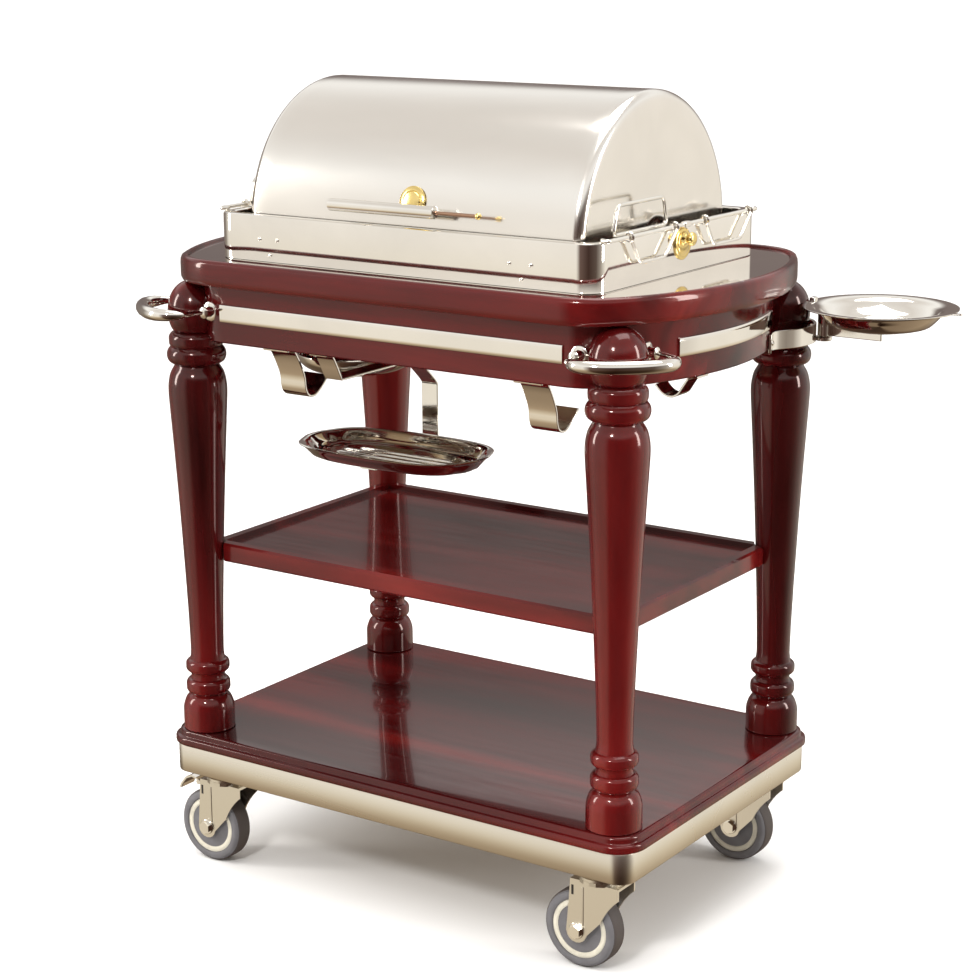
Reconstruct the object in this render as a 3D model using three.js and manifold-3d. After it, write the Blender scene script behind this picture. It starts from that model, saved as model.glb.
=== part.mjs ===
// A food service trolley: two mahogany shelves on four turned legs and casters,
// with a roll-top chafing dish let into its top. Millimetres, +Z up, +X to the
// right of the service side, -Y towards the server. The floor is at z = 0.
import * as THREE from "three";
import { mergeVertices } from "three/addons/utils/BufferGeometryUtils.js";
import Module from "manifold-3d";

// ---- Driving dimensions ----
const GAP = 0.3;
const LEG_X = 352;
const LEG_Y = 226;

const WHEEL_RADIUS = 56;
const WHEEL_WIDTH = 34;
const CASTER_X = 328;
const CASTER_Y = 218;
const CASTER_TRAIL = 25;

const SKIRT = { x: 394.5, y: 265, z: 149, height: 43, radius: 26, wall: 3 };
const BASE = { x: 403, y: 273, z: 192.3, height: 22, radius: 45 };
const SHELF = { x: 347.5, y: 218, z: 471, height: 28, lip: 16, recess: 7 };

const SLAB = { x: 434, y: 280, z: 888, height: 37, endRadius: 450, cornerRadius: 105 };
const SLAB_OVERHANG = 31;
const OUTLINE_STEPS = 5;
const LIP_WIDTH = 12;
const DECK_TOP = 921;
const DECK_THICKNESS = 3;
const WELL = { x: 300, y: 210, radius: 28 };

const APRON = { z: 804, top: 887.7, wall: 20 };
const BAND = { z: 835, height: 24, thickness: 3, frontX: 284, endY: 128 };

const BOX = { x: 314, y: 222, radius: 32, wall: 3, top: 985, flange: 16 };
const PIVOT_Z = 968;
const LID = { x: 275, radius: 195, wall: 3, edge: 16 };
const WATER_PAN = { x: 267, y: 168, z: 893, top: 958, wall: 2, radius: 26 };
const FOOD_PAN = { x: 258, y: 158, z: 899, top: 960.5, rim: 6, wall: 2, radius: 24 };

const RAIL_X = 319.5;
const RAIL_Z = 987;
const WIRE = 2.7;

const DISH = { x: 494, y: 245, z: 857, radius: 108 };
const ARM_PIVOT = { x: 405, y: 252 };

// ---- Solid helpers ----
const wasm = await Module();
wasm.setup();

function bare(geometry) {
  const plain = geometry.index ? geometry.toNonIndexed() : geometry.clone();
  plain.deleteAttribute("normal");
  plain.deleteAttribute("uv");
  return mergeVertices(plain, 1e-3);
}

function solid(geometry) {
  const merged = bare(geometry);
  return new wasm.Manifold(
    new wasm.Mesh({
      numProp: 3,
      vertProperties: merged.attributes.position.array,
      triVerts: new Uint32Array(merged.index.array),
    }),
  );
}

function geometryOf(manifold) {
  const mesh = manifold.getMesh();
  const points = new Float32Array(mesh.numVert * 3);
  for (let i = 0; i < mesh.numVert; i += 1) {
    const first = i * mesh.numProp;
    points.set(mesh.vertProperties.subarray(first, first + 3), i * 3);
  }
  const geometry = new THREE.BufferGeometry();
  geometry.setAttribute("position", new THREE.BufferAttribute(points, 3));
  geometry.setIndex(new THREE.BufferAttribute(new Uint32Array(mesh.triVerts), 1));
  return geometry;
}

function join(...geometries) {
  const joined = geometries.map(solid).reduce((a, b) => a.add(b));
  return geometryOf(joined);
}

function cut(geometry, ...tools) {
  const left = tools.map(solid).reduce((a, b) => a.subtract(b), solid(geometry));
  return geometryOf(left);
}

// ---- Outline helpers, all in the XY plane and centred on the origin ----
function roundedRect(x, y, radius) {
  const shape = new THREE.Shape();
  shape.absarc(x - radius, y - radius, radius, 0, Math.PI / 2);
  shape.absarc(radius - x, y - radius, radius, Math.PI / 2, Math.PI);
  shape.absarc(radius - x, radius - y, radius, Math.PI, Math.PI * 1.5);
  shape.absarc(x - radius, radius - y, radius, Math.PI * 1.5, Math.PI * 2);
  shape.closePath();
  return shape;
}

// The table outline: straight front and back, softly bowed ends, rounded corners.
// The centres of its arcs follow from the slab's sizes.
const endCentre = SLAB.x - SLAB.endRadius;
const cornerY = SLAB.y - SLAB.cornerRadius;
const cornerReach = SLAB.endRadius - SLAB.cornerRadius;
const cornerX = endCentre + Math.sqrt(cornerReach ** 2 - cornerY ** 2);
const cornerTurn = Math.asin(cornerY / cornerReach);

// inset moves the outline inwards all the way round.
function tableOutline(inset) {
  const end = SLAB.endRadius - inset;
  const corner = SLAB.cornerRadius - inset;
  const turn = cornerTurn;
  const shape = new THREE.Shape();
  shape.absarc(endCentre, 0, end, -turn, turn);
  shape.absarc(cornerX, cornerY, corner, turn, Math.PI / 2);
  shape.absarc(-cornerX, cornerY, corner, Math.PI / 2, Math.PI - turn);
  shape.absarc(-endCentre, 0, end, Math.PI - turn, Math.PI + turn);
  shape.absarc(-cornerX, -cornerY, corner, Math.PI + turn, Math.PI * 1.5);
  shape.absarc(cornerX, -cornerY, corner, Math.PI * 1.5, Math.PI * 2 - turn);
  shape.closePath();
  return shape;
}

// Where the bowed end of the apron stands at a given y, and its corner at a given x.
function apronX(y) {
  return endCentre + Math.sqrt((SLAB.endRadius - SLAB_OVERHANG) ** 2 - y ** 2);
}
function apronY(x) {
  const radius = SLAB.cornerRadius - SLAB_OVERHANG;
  return cornerY + Math.sqrt(radius ** 2 - Math.max(0, x - cornerX) ** 2);
}

function plate(shape, z, height, { bevel = 0, curveSegments = 6 } = {}) {
  const geometry = new THREE.ExtrudeGeometry(shape, {
    depth: height - 2 * bevel,
    curveSegments,
    steps: 1,
    bevelEnabled: bevel > 0,
    bevelSize: bevel,
    bevelThickness: bevel,
    bevelOffset: -bevel,
    bevelSegments: 1,
  });
  geometry.translate(0, 0, z + bevel);
  return geometry;
}

function ring(outer, inner, z, height, options) {
  const tool = plate(inner, z - 5, height + 10, options && { curveSegments: options.curveSegments });
  return cut(plate(outer, z, height, options), tool);
}

// ---- Round and bent shapes ----
function turned(profile, segments) {
  const points = profile.map(([radius, z]) => new THREE.Vector2(radius, z));
  return new THREE.LatheGeometry(points, segments).rotateX(Math.PI / 2);
}

// A rod along x, y or z from one end to the other.
function rod(axis, radius, from, to, segments = 14) {
  const geometry = new THREE.CylinderGeometry(radius, radius, to - from, segments);
  if (axis === "x") geometry.rotateZ(-Math.PI / 2).translate((from + to) / 2, 0, 0);
  if (axis === "y") geometry.translate(0, (from + to) / 2, 0);
  if (axis === "z") geometry.rotateX(Math.PI / 2).translate(0, 0, (from + to) / 2);
  return geometry;
}

// A round bar whose radius changes along a smooth curve.
function taperedBar(points, radii, { sides = 10, steps = 30, closed = false } = {}) {
  const curve = new THREE.CatmullRomCurve3(points, closed, "centripetal");
  const frames = curve.computeFrenetFrames(steps, closed);
  const rings = closed ? steps : steps + 1;
  const positions = [];
  const faces = [];
  for (let i = 0; i < rings; i += 1) {
    const t = i / steps;
    const centre = curve.getPointAt(t);
    const place = t * (radii.length - 1);
    const lower = Math.min(Math.floor(place), radii.length - 2);
    const radius = THREE.MathUtils.lerp(radii[lower], radii[lower + 1], place - lower);
    for (let j = 0; j < sides; j += 1) {
      const angle = (j / sides) * Math.PI * 2;
      const point = centre
        .clone()
        .addScaledVector(frames.normals[i], Math.cos(angle) * radius)
        .addScaledVector(frames.binormals[i], Math.sin(angle) * radius);
      positions.push(...point.toArray());
    }
  }
  const spans = closed ? rings : rings - 1;
  for (let i = 0; i < spans; i += 1) {
    for (let j = 0; j < sides; j += 1) {
      const a = i * sides + j;
      const b = i * sides + ((j + 1) % sides);
      const c = ((i + 1) % rings) * sides + ((j + 1) % sides);
      const d = ((i + 1) % rings) * sides + j;
      faces.push(a, b, c, a, c, d);
    }
  }
  if (!closed) {
    const last = (rings - 1) * sides;
    for (let j = 1; j < sides - 1; j += 1) {
      faces.push(0, j + 1, j, last, last + j, last + j + 1);
    }
  }
  const geometry = new THREE.BufferGeometry();
  geometry.setAttribute("position", new THREE.Float32BufferAttribute(positions, 3));
  geometry.setIndex(faces);
  return geometry;
}

// A bent wire: straight runs between the given points, with small bends at them.
function bentWire(points, radius, closed = false) {
  const bend = radius * 2.5;
  const corner = (i) => points[(i + points.length) % points.length];
  const towards = (from, to) => from.clone().lerp(to, bend / from.distanceTo(to));
  const dense = points.flatMap((point, i) => {
    if (!closed && (i === 0 || i === points.length - 1)) return [point];
    const before = towards(point, corner(i - 1));
    const after = towards(point, corner(i + 1));
    return new THREE.QuadraticBezierCurve3(before, point, after).getPoints(2);
  });
  return sweepPolyline(dense, radius, closed);
}

// A round section carried along a polyline, mitred at each point.
function sweepPolyline(points, radius, closed, sides = 6) {
  const count = points.length;
  const plane = new THREE.Plane().setFromCoplanarPoints(points[0], points[1], points[2]);
  const flat = points.slice(2).every((p) => Math.abs(plane.distanceToPoint(p)) < 1);
  const across = flat ? plane.normal.clone() : new THREE.Vector3(0, 0, 1);
  const positions = [];
  const faces = [];
  for (let i = 0; i < count; i += 1) {
    const before = points[(i - 1 + count) % count];
    const after = points[(i + 1) % count];
    const inward = new THREE.Vector3().subVectors(points[i], before).normalize();
    const outward = new THREE.Vector3().subVectors(after, points[i]).normalize();
    if (!closed && i === 0) inward.copy(outward);
    if (!closed && i === count - 1) outward.copy(inward);
    const along = inward.clone().add(outward).normalize();
    const side = new THREE.Vector3().crossVectors(across, along).normalize();
    const mitre = 1 / Math.max(0.5, along.dot(inward));
    for (let j = 0; j < sides; j += 1) {
      const angle = (j / sides) * Math.PI * 2;
      const point = points[i]
        .clone()
        .addScaledVector(side, Math.cos(angle) * radius * mitre)
        .addScaledVector(across, Math.sin(angle) * radius);
      positions.push(...point.toArray());
    }
  }
  const spans = closed ? count : count - 1;
  for (let i = 0; i < spans; i += 1) {
    for (let j = 0; j < sides; j += 1) {
      const a = i * sides + j;
      const b = i * sides + ((j + 1) % sides);
      const c = ((i + 1) % count) * sides + ((j + 1) % sides);
      const d = ((i + 1) % count) * sides + j;
      faces.push(a, c, b, a, d, c);
    }
  }
  if (!closed) {
    const last = (count - 1) * sides;
    for (let j = 1; j < sides - 1; j += 1) {
      faces.push(0, j, j + 1, last, last + j + 1, last + j);
    }
  }
  const geometry = new THREE.BufferGeometry();
  geometry.setAttribute("position", new THREE.Float32BufferAttribute(positions, 3));
  geometry.setIndex(faces);
  return geometry;
}

// The outline of a strip of even thickness that follows a path of points.
function stripOutline(path, thickness) {
  const half = thickness / 2;
  const left = [];
  const right = [];
  path.forEach(([u, v], i) => {
    const before = path[Math.max(i - 1, 0)];
    const after = path[Math.min(i + 1, path.length - 1)];
    const tangent = new THREE.Vector2(after[0] - before[0], after[1] - before[1]).normalize();
    left.push(new THREE.Vector2(u - tangent.y * half, v + tangent.x * half));
    right.unshift(new THREE.Vector2(u + tangent.y * half, v - tangent.x * half));
  });
  return new THREE.Shape([...left, ...right]);
}

// A flat strip bent in the XZ plane, its width along Y. stripAcross turns it into the YZ plane.
function bentStrip(path, thickness, width) {
  const strip = plate(stripOutline(path, thickness), 0, width);
  return strip.translate(0, 0, -width / 2).rotateX(Math.PI / 2);
}
function stripAcross(path, thickness, width) {
  return bentStrip(path, thickness, width).rotateZ(Math.PI / 2);
}

// ---- Materials ----
const paint = (color, roughness, metalness) =>
  new THREE.MeshStandardMaterial({ color, roughness, metalness });
const mahogany = () => paint(0x5a1512, 0.22, 0);
const polished = () => paint(0xe8e4dc, 0.1, 1);
const satin = () => paint(0xd8d3c6, 0.35, 1);
const brass = () => paint(0xd9b95a, 0.22, 1);
const rubber = () => paint(0x55565a, 0.7, 0);

const trolley = new THREE.Group();

function add(name, geometry, material, parent = trolley) {
  const mesh = new THREE.Mesh(geometry, material);
  mesh.name = name;
  parent.add(mesh);
  return mesh;
}

const corners = [
  { tag: "front_left", sx: -1, sy: -1 },
  { tag: "front_right", sx: 1, sy: -1 },
  { tag: "back_right", sx: 1, sy: 1 },
  { tag: "back_left", sx: -1, sy: 1 },
];

// ---- Casters ----
function wheelGeometry() {
  const half = WHEEL_WIDTH / 2;
  const hubHalf = half - 3;
  const profile = [
    [5.4, -half],
    [12, -hubHalf],
    [41, -hubHalf],
    [44, -half],
    [51, -half],
    [WHEEL_RADIUS, -half + 5],
    [WHEEL_RADIUS, half - 5],
    [51, half],
    [44, half],
    [41, hubHalf],
    [12, hubHalf],
    [5.4, half],
    [5.4, -half],
  ];
  return turned(profile, 18).rotateX(Math.PI / 2);
}

// The fork is a folded hood over the wheel, pulled in towards the axle.
function forkGeometry() {
  const outer = WHEEL_WIDTH / 2 + 5.5;
  const side = new THREE.Shape();
  side.moveTo(40, 131);
  side.lineTo(40, 114);
  side.quadraticCurveTo(22, 98, 13, 76);
  side.lineTo(-9, 52);
  side.quadraticCurveTo(-12, 40, -CASTER_TRAIL, 39);
  side.quadraticCurveTo(-39, 40, -41, 54);
  side.lineTo(-37, 100);
  side.lineTo(-35, 131);
  side.closePath();
  const hood = new THREE.ExtrudeGeometry(side, {
    depth: outer * 2,
    bevelEnabled: false,
    curveSegments: 4,
    steps: 1,
  });
  hood.rotateX(Math.PI / 2).translate(0, outer, 0);
  const inside = new THREE.BoxGeometry(130, outer * 2 - 6, 128).translate(-8, 0, 127 - 64);
  const bore = rod("y", 5.4, -outer - 2, outer + 2, 12).translate(-CASTER_TRAIL, 0, WHEEL_RADIUS);
  const neck = turned(
    [
      [0, 130],
      [31, 130],
      [31, 135],
      [26, 141],
      [26, 144],
      [0, 144],
    ],
    20,
  );
  return cut(join(cut(hood, inside), neck), bore);
}

function axleGeometry() {
  const end = WHEEL_WIDTH / 2 + 5.8;
  const shank = rod("y", 5, -end - 5, end + 5, 12);
  const head = rod("y", 9.5, end, end + 6.5, 6);
  const nut = rod("y", 9.5, -end - 6.5, -end, 6);
  return join(shank, head, nut);
}

const BRAKE_X = -44;

function brakeGeometry() {
  const path = [
    [BRAKE_X, 122],
    [BRAKE_X - 6, 126],
    [BRAKE_X - 15, 128],
    [BRAKE_X - 26, 123],
    [BRAKE_X - 35, 112],
    [BRAKE_X - 38, 105],
  ];
  const tab = bentStrip(path, 3, 30);
  const barrel = rod("y", 4, -17, 17, 10).translate(BRAKE_X, 0, 122);
  return join(tab, barrel);
}

function addCaster({ tag, sx, sy }) {
  const caster = new THREE.Group();
  caster.position.set(sx * CASTER_X, sy * CASTER_Y, 0);
  trolley.add(caster);
  const mount = plate(roundedRect(36, 36, 8), SKIRT.z - GAP - 3, 3, { curveSegments: 2 });
  add(`caster_plate_${tag}`, mount, satin(), caster);
  add(`caster_fork_${tag}`, forkGeometry(), satin(), caster);
  const wheel = add(`wheel_${tag}`, wheelGeometry(), rubber(), caster);
  wheel.position.set(-CASTER_TRAIL, 0, WHEEL_RADIUS);
  const axle = add(`axle_bolt_${tag}`, axleGeometry(), satin(), caster);
  axle.position.copy(wheel.position);
  if (sx < 0) add(`brake_lever_${tag}`, brakeGeometry(), polished(), caster);
}
corners.forEach(addCaster);

// ---- Base ----
function skirtGeometry() {
  const { x, y, z, height, radius, wall } = SKIRT;
  const shell = plate(roundedRect(x, y, radius), z, height, { curveSegments: 5 });
  const hollow = plate(roundedRect(x - wall, y - wall, radius - wall), z + wall, height, {
    curveSegments: 5,
  });
  return cut(shell, hollow);
}
add("base_skirt", skirtGeometry(), satin());

// Two-step moulded edge: a wide lower step and a narrower top board.
function baseBoardGeometry() {
  const { x, y, z, height, radius } = BASE;
  const lower = plate(roundedRect(x, y, radius), z, 13, { bevel: 2.5, curveSegments: 4 });
  const upper = plate(roundedRect(x - 7, y - 7, radius - 7), z + 8, height - 8, {
    bevel: 2,
    curveSegments: 4,
  });
  return join(lower, upper);
}
add("base_board", baseBoardGeometry(), mahogany());

// ---- Legs: turned columns with beads, collar and an egg finial ----
const LEG_PROFILE = [
  [0, 214.7],
  [36, 214.7],
  [38, 246],
  [33, 262],
  [26, 269],
  [32.5, 276],
  [32.5, 284],
  [25, 296],
  [32, 306],
  [32, 316],
  [24.5, 345],
  [33, 560],
  [41, 700],
  [42, 733],
  [37, 757],
  [31, 766],
  [42, 773],
  [42.5, 784],
  [36, 791],
  [38, 807],
  [30, 813],
  [38.5, 828],
  [39, 843],
  [32, 864],
  [18, 880],
  [0, 887.3],
];
const SHELF_NOTCH = 32.5;

function legGeometry(sx, sy) {
  const column = turned(LEG_PROFILE, 12).translate(sx * LEG_X, sy * LEG_Y, 0);
  const apron = plate(tableOutline(SLAB_OVERHANG - GAP), APRON.z - GAP, 120, {
    curveSegments: OUTLINE_STEPS,
  });
  return cut(column, apron);
}
corners.forEach(({ tag, sx, sy }) => add(`leg_${tag}`, legGeometry(sx, sy), mahogany()));

// ---- Middle shelf: a tray with a raised lip, notched round the legs ----
function shelfGeometry() {
  const { x, y, z, height, lip, recess } = SHELF;
  const board = plate(roundedRect(x, y, 6), z, height, { bevel: 3, curveSegments: 2 });
  const tray = plate(roundedRect(x - lip, y - lip, 6), z + height - recess, 20, { curveSegments: 2 });
  const notches = corners.map(({ sx, sy }) =>
    rod("z", SHELF_NOTCH, z - 5, z + height + 5, 18).translate(sx * LEG_X, sy * LEG_Y, 0),
  );
  return cut(board, tray, ...notches);
}
add("mid_shelf", shelfGeometry(), mahogany());

// ---- Apron, slab and deck ----
function apronGeometry() {
  const { z, top, wall } = APRON;
  return ring(tableOutline(SLAB_OVERHANG), tableOutline(SLAB_OVERHANG + wall), z, top - z, {
    curveSegments: OUTLINE_STEPS,
  });
}
add("apron", apronGeometry(), mahogany());

function slabGeometry() {
  const board = plate(tableOutline(0), SLAB.z, SLAB.height, { bevel: 6, curveSegments: OUTLINE_STEPS });
  const floor = DECK_TOP - DECK_THICKNESS - GAP;
  const recess = plate(tableOutline(LIP_WIDTH), floor, 40, { curveSegments: OUTLINE_STEPS });
  const well = plate(roundedRect(WELL.x, WELL.y, WELL.radius), SLAB.z - 5, 60, { curveSegments: 4 });
  return cut(board, recess, well);
}
add("top_slab", slabGeometry(), mahogany());
add(
  "deck_plate",
  ring(
    tableOutline(LIP_WIDTH + GAP),
    roundedRect(WELL.x, WELL.y, WELL.radius),
    DECK_TOP - DECK_THICKNESS,
    DECK_THICKNESS,
    { curveSegments: OUTLINE_STEPS },
  ),
  polished(),
);

// ---- Silver band round the apron, in four lengths ----
function bandGeometry(side) {
  const skin = SLAB_OVERHANG - GAP;
  const hoop = ring(tableOutline(skin - BAND.thickness), tableOutline(skin), BAND.z, BAND.height, {
    curveSegments: OUTLINE_STEPS,
  });
  const big = 1000;
  const keep =
    side.axis === "y"
      ? new THREE.BoxGeometry(BAND.frontX * 2, big, big).translate(0, (side.sign * big) / 2, 0)
      : new THREE.BoxGeometry(big, BAND.endY * 2, big).translate((side.sign * big) / 2, 0, 0);
  return geometryOf(solid(hoop).intersect(solid(keep.translate(0, 0, BAND.z))));
}
const bandSides = [
  { tag: "front", axis: "y", sign: -1 },
  { tag: "back", axis: "y", sign: 1 },
  { tag: "left", axis: "x", sign: -1 },
  { tag: "right", axis: "x", sign: 1 },
];
bandSides.forEach((side) => add(`trim_band_${side.tag}`, bandGeometry(side), polished()));

// ---- Corner push handles, in the plane of the band ----
// Each handle is drawn in (across, outward) steps from the leg axis.
const HANDLE_OUTWARD = new THREE.Vector3(0.64, 0.77, 0).normalize();
const HANDLE_ACROSS = new THREE.Vector3(0.77, -0.64, 0).normalize();
const HANDLE_PATH = [
  [-55, -5],
  [-61, 12],
  [-68, 33],
  [-56, 59],
  [-24, 72],
  [24, 72],
  [56, 59],
  [68, 33],
  [64, 6],
  [53, -20],
];
const HANDLE_RADII = [3.4, 4.2, 9.2, 10.2, 10.2, 10.2, 9.4, 4.2, 3.4];
const HANDLE_Z = BAND.z + BAND.height / 2;

function ferruleGeometry() {
  const profile = [
    [0, 0],
    [10, 0],
    [10, 3.5],
    [6.5, 6],
    [6.5, 14],
    [5, 18],
    [0, 18],
  ];
  return turned(profile, 9);
}

function cornerHandleGeometry(sx, sy) {
  const place = ([across, outward]) => {
    const leg = new THREE.Vector3(LEG_X, LEG_Y, HANDLE_Z);
    return leg.addScaledVector(HANDLE_ACROSS, across).addScaledVector(HANDLE_OUTWARD, outward);
  };
  const path = HANDLE_PATH.map(place);
  const bar = taperedBar(path, HANDLE_RADII, { sides: 7, steps: 18 });
  const front = path[0];
  const end = path[path.length - 1];
  const frontFoot = ferruleGeometry().rotateX(-Math.PI / 2);
  frontFoot.translate(front.x, apronY(front.x) - 2, HANDLE_Z);
  const endFoot = ferruleGeometry().rotateY(Math.PI / 2);
  endFoot.translate(apronX(end.y) - 2, end.y, HANDLE_Z);
  const apron = plate(tableOutline(SLAB_OVERHANG - GAP), APRON.z, 80, { curveSegments: OUTLINE_STEPS });
  const quadrant = cut(join(bar, frontFoot, endFoot), apron);
  return mirrored(quadrant, sx, sy);
}

// A copy of a closed geometry flipped about the X and Y mid-planes.
function mirrored(geometry, sx, sy) {
  const copy = geometry.clone().scale(sx, sy, 1);
  if (sx * sy > 0) return copy;
  const index = copy.index.array;
  for (let i = 0; i < index.length; i += 3) {
    [index[i + 1], index[i + 2]] = [index[i + 2], index[i + 1]];
  }
  return copy;
}

corners
  .filter(({ tag }) => tag !== "back_right")
  .forEach(({ tag, sx, sy }) => add(`corner_handle_${tag}`, cornerHandleGeometry(sx, sy), polished()));

// ---- Chafing dish ----
function chaferBoxGeometry() {
  const { x, y, radius, wall, top, flange } = BOX;
  const bottom = DECK_TOP + GAP;
  const shell = plate(roundedRect(x, y, radius), bottom, top - bottom, { curveSegments: 6 });
  const hollow = plate(roundedRect(x - wall, y - wall, radius - wall), bottom - 5, top - bottom + 2, {
    curveSegments: 6,
  });
  const mouth = plate(roundedRect(x - flange, y - flange, radius - flange), top - 10, 20, {
    curveSegments: 4,
  });
  const bore = rod("x", 5.5, -x - 5, x + 5, 12).translate(0, 0, PIVOT_Z);
  return cut(shell, hollow, mouth, bore);
}
add("chafer_box", chaferBoxGeometry(), polished());

function panGeometry({ x, y, z, top, wall, radius }, extras = []) {
  const shell = plate(roundedRect(x, y, radius), z, top - z, { curveSegments: 4 });
  const hollow = plate(roundedRect(x - wall, y - wall, radius - wall), z + wall, 200, {
    curveSegments: 4,
  });
  return cut(join(shell, ...extras), hollow);
}

// The water pan hangs from a ledge along the front wall of the box.
function waterPanGeometry() {
  const { x, y, top } = WATER_PAN;
  const reach = BOX.y - BOX.wall - GAP;
  const ledge = new THREE.BoxGeometry(x * 1.8, reach - y + 10, 3);
  ledge.translate(0, -(reach + y - 10) / 2, top - 1.5);
  return panGeometry(WATER_PAN, [ledge]);
}
add("water_pan", waterPanGeometry(), satin());

function foodPanGeometry() {
  const { x, y, top, rim, radius } = FOOD_PAN;
  const lip = plate(roundedRect(x + rim, y + rim, radius + rim), top - 2, 2, { curveSegments: 4 });
  return panGeometry(FOOD_PAN, [lip]);
}
add("food_pan", foodPanGeometry(), polished());

// ---- Roll-top lid: half a barrel with flat ends, turning on its own axis ----
function barrelHalf(x, radius, edge, lowest) {
  const profile = new THREE.Shape();
  profile.moveTo(-x, 0);
  profile.lineTo(-x, radius - edge);
  profile.quadraticCurveTo(-x, radius, -x + edge, radius);
  profile.lineTo(x - edge, radius);
  profile.quadraticCurveTo(x, radius, x, radius - edge);
  profile.lineTo(x, 0);
  const points = profile.getPoints(3).map((p) => new THREE.Vector2(p.y, p.x));
  const whole = new THREE.LatheGeometry(points.reverse(), 36);
  whole.rotateZ(Math.PI / 2);
  const below = new THREE.BoxGeometry(900, 900, 400).translate(0, 0, lowest - 200);
  return cut(fixWinding(whole), below);
}

// A turned solid whose profile ran the other way has its faces turned back.
function fixWinding(geometry) {
  const merged = bare(geometry);
  if (solid(merged).volume() > 0) return merged;
  const index = merged.index.array;
  for (let i = 0; i < index.length; i += 3) {
    [index[i + 1], index[i + 2]] = [index[i + 2], index[i + 1]];
  }
  return merged;
}

function lidGeometry() {
  const outer = barrelHalf(LID.x, LID.radius, LID.edge, -11);
  const inner = barrelHalf(LID.x - LID.wall, LID.radius - LID.wall, LID.edge - 2, -30);
  const bore = rod("x", 5.5, -LID.x - 5, LID.x + 5, 12);
  const cheekGap = new THREE.BoxGeometry(540, 500, 12).translate(0, 0, -6);
  return cut(outer, inner, bore, cheekGap).translate(0, 0, PIVOT_Z);
}
add("roll_top_lid", lidGeometry(), polished());

// Handle across the front of the lid, low on the curve.
const GRIP = { y: -216, z: 1008, left: -112, right: 64, tip: 132 };

function lidGripGeometry() {
  const bar = rod("x", 8.5, GRIP.left, GRIP.right, 14);
  const tail = rod("x", 2.6, GRIP.right - 2, GRIP.tip, 8);
  const ball = new THREE.SphereGeometry(4.6, 10, 7).translate(GRIP.tip, 0, 0);
  const posts = [-72, 44].map((x) => rod("y", 3, 0, 24, 8).translate(x, 0, 0));
  return join(bar, tail, ball, ...posts).translate(0, GRIP.y, GRIP.z);
}
add("lid_handle", lidGripGeometry(), polished());

function lidRosetteGeometry() {
  const profile = [
    [0, 0],
    [21, 0],
    [21, 2],
    [15, 5],
    [7, 6],
    [0, 6],
  ];
  const tilt = Math.atan2(1018 - PIVOT_Z, LID.radius);
  const disc = turned(profile, 20).rotateX(Math.PI / 2);
  disc.translate(0, -(LID.radius + GAP + 0.6), 0).rotateX(-tilt);
  return disc.translate(8, 0, PIVOT_Z);
}
add("lid_rosette", lidRosetteGeometry(), brass());

// ---- Lid pivots: a brass disc and thumb knob outside, a stub shaft inside ----
const DISC_DROP = -7;

function pivotGeometry() {
  const face = BOX.x + GAP;
  const disc = turned(
    [
      [0, 0],
      [22, 0],
      [22, 2],
      [18, 4],
      [0, 4],
    ],
    20,
  );
  disc.rotateY(Math.PI / 2).translate(face, 0, DISC_DROP);
  const knob = turned(
    [
      [0, 3],
      [8, 3],
      [6, 12],
      [9, 15],
      [8, 19],
      [0, 20],
    ],
    12,
  );
  knob.rotateY(Math.PI / 2).translate(face, 0, 0);
  const shaft = rod("x", 5, LID.x - LID.wall - 3, face + 2, 12);
  return join(disc, knob, shaft);
}
[1, -1].forEach((side) => {
  const name = side > 0 ? "lid_pivot_right" : "lid_pivot_left";
  add(name, mirrored(pivotGeometry(), side, 1).translate(0, 0, PIVOT_Z), brass());
});

// ---- Wire handles on the ends of the chafing dish ----
const DROP_LOOPS = [
  { tag: "front", from: -146, to: -30 },
  { tag: "back", from: 52, to: 178 },
];

function railGeometry() {
  const run = rod("y", 3, -BOX.y + 22, BOX.y - 22, 10).translate(RAIL_X, 0, RAIL_Z);
  const feet = [-1, 1].map((side) =>
    rod("x", 3, BOX.x - 8, RAIL_X + 1, 8).translate(0, side * (BOX.y - 26), BOX.top + GAP + 3),
  );
  const clip = new THREE.BoxGeometry(14, 16, 8).translate(RAIL_X - 4, 0, BOX.top + GAP + 4);
  return join(run, ...feet, clip);
}

function dropLoopGeometry({ from, to }) {
  const bottom = RAIL_Z - 36;
  const top = RAIL_Z - 6;
  const points = [
    [from, top],
    [from + 22, bottom],
    [to - 30, bottom],
    [to, top],
  ].map(([y, z]) => new THREE.Vector3(RAIL_X + 2.5, y, z));
  return bentWire(points, WIRE);
}

// An upright wire bail that stands on the rim of the box beside the lid.
const BAIL = { x: 301, low: -158, high: -20, z: BOX.top + GAP + WIRE, height: 38 };

function bailGeometry() {
  const points = [
    [BAIL.low, BAIL.z],
    [BAIL.low + 12, BAIL.z + BAIL.height],
    [BAIL.high - 8, BAIL.z + BAIL.height],
    [BAIL.high, BAIL.z],
  ].map(([y, z]) => new THREE.Vector3(BAIL.x, y, z));
  return bentWire(points, WIRE, true);
}

[1, -1].forEach((side) => {
  const tag = side > 0 ? "right" : "left";
  add(`end_rail_${tag}`, mirrored(railGeometry(), side, 1), polished());
  DROP_LOOPS.forEach((loop) => {
    const wire = fixWinding(dropLoopGeometry(loop));
    add(`drop_handle_${tag}_${loop.tag}`, mirrored(wire, side, 1), polished());
  });
  add(`pan_bail_${tag}`, mirrored(fixWinding(bailGeometry()), side, 1), polished());
});

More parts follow.
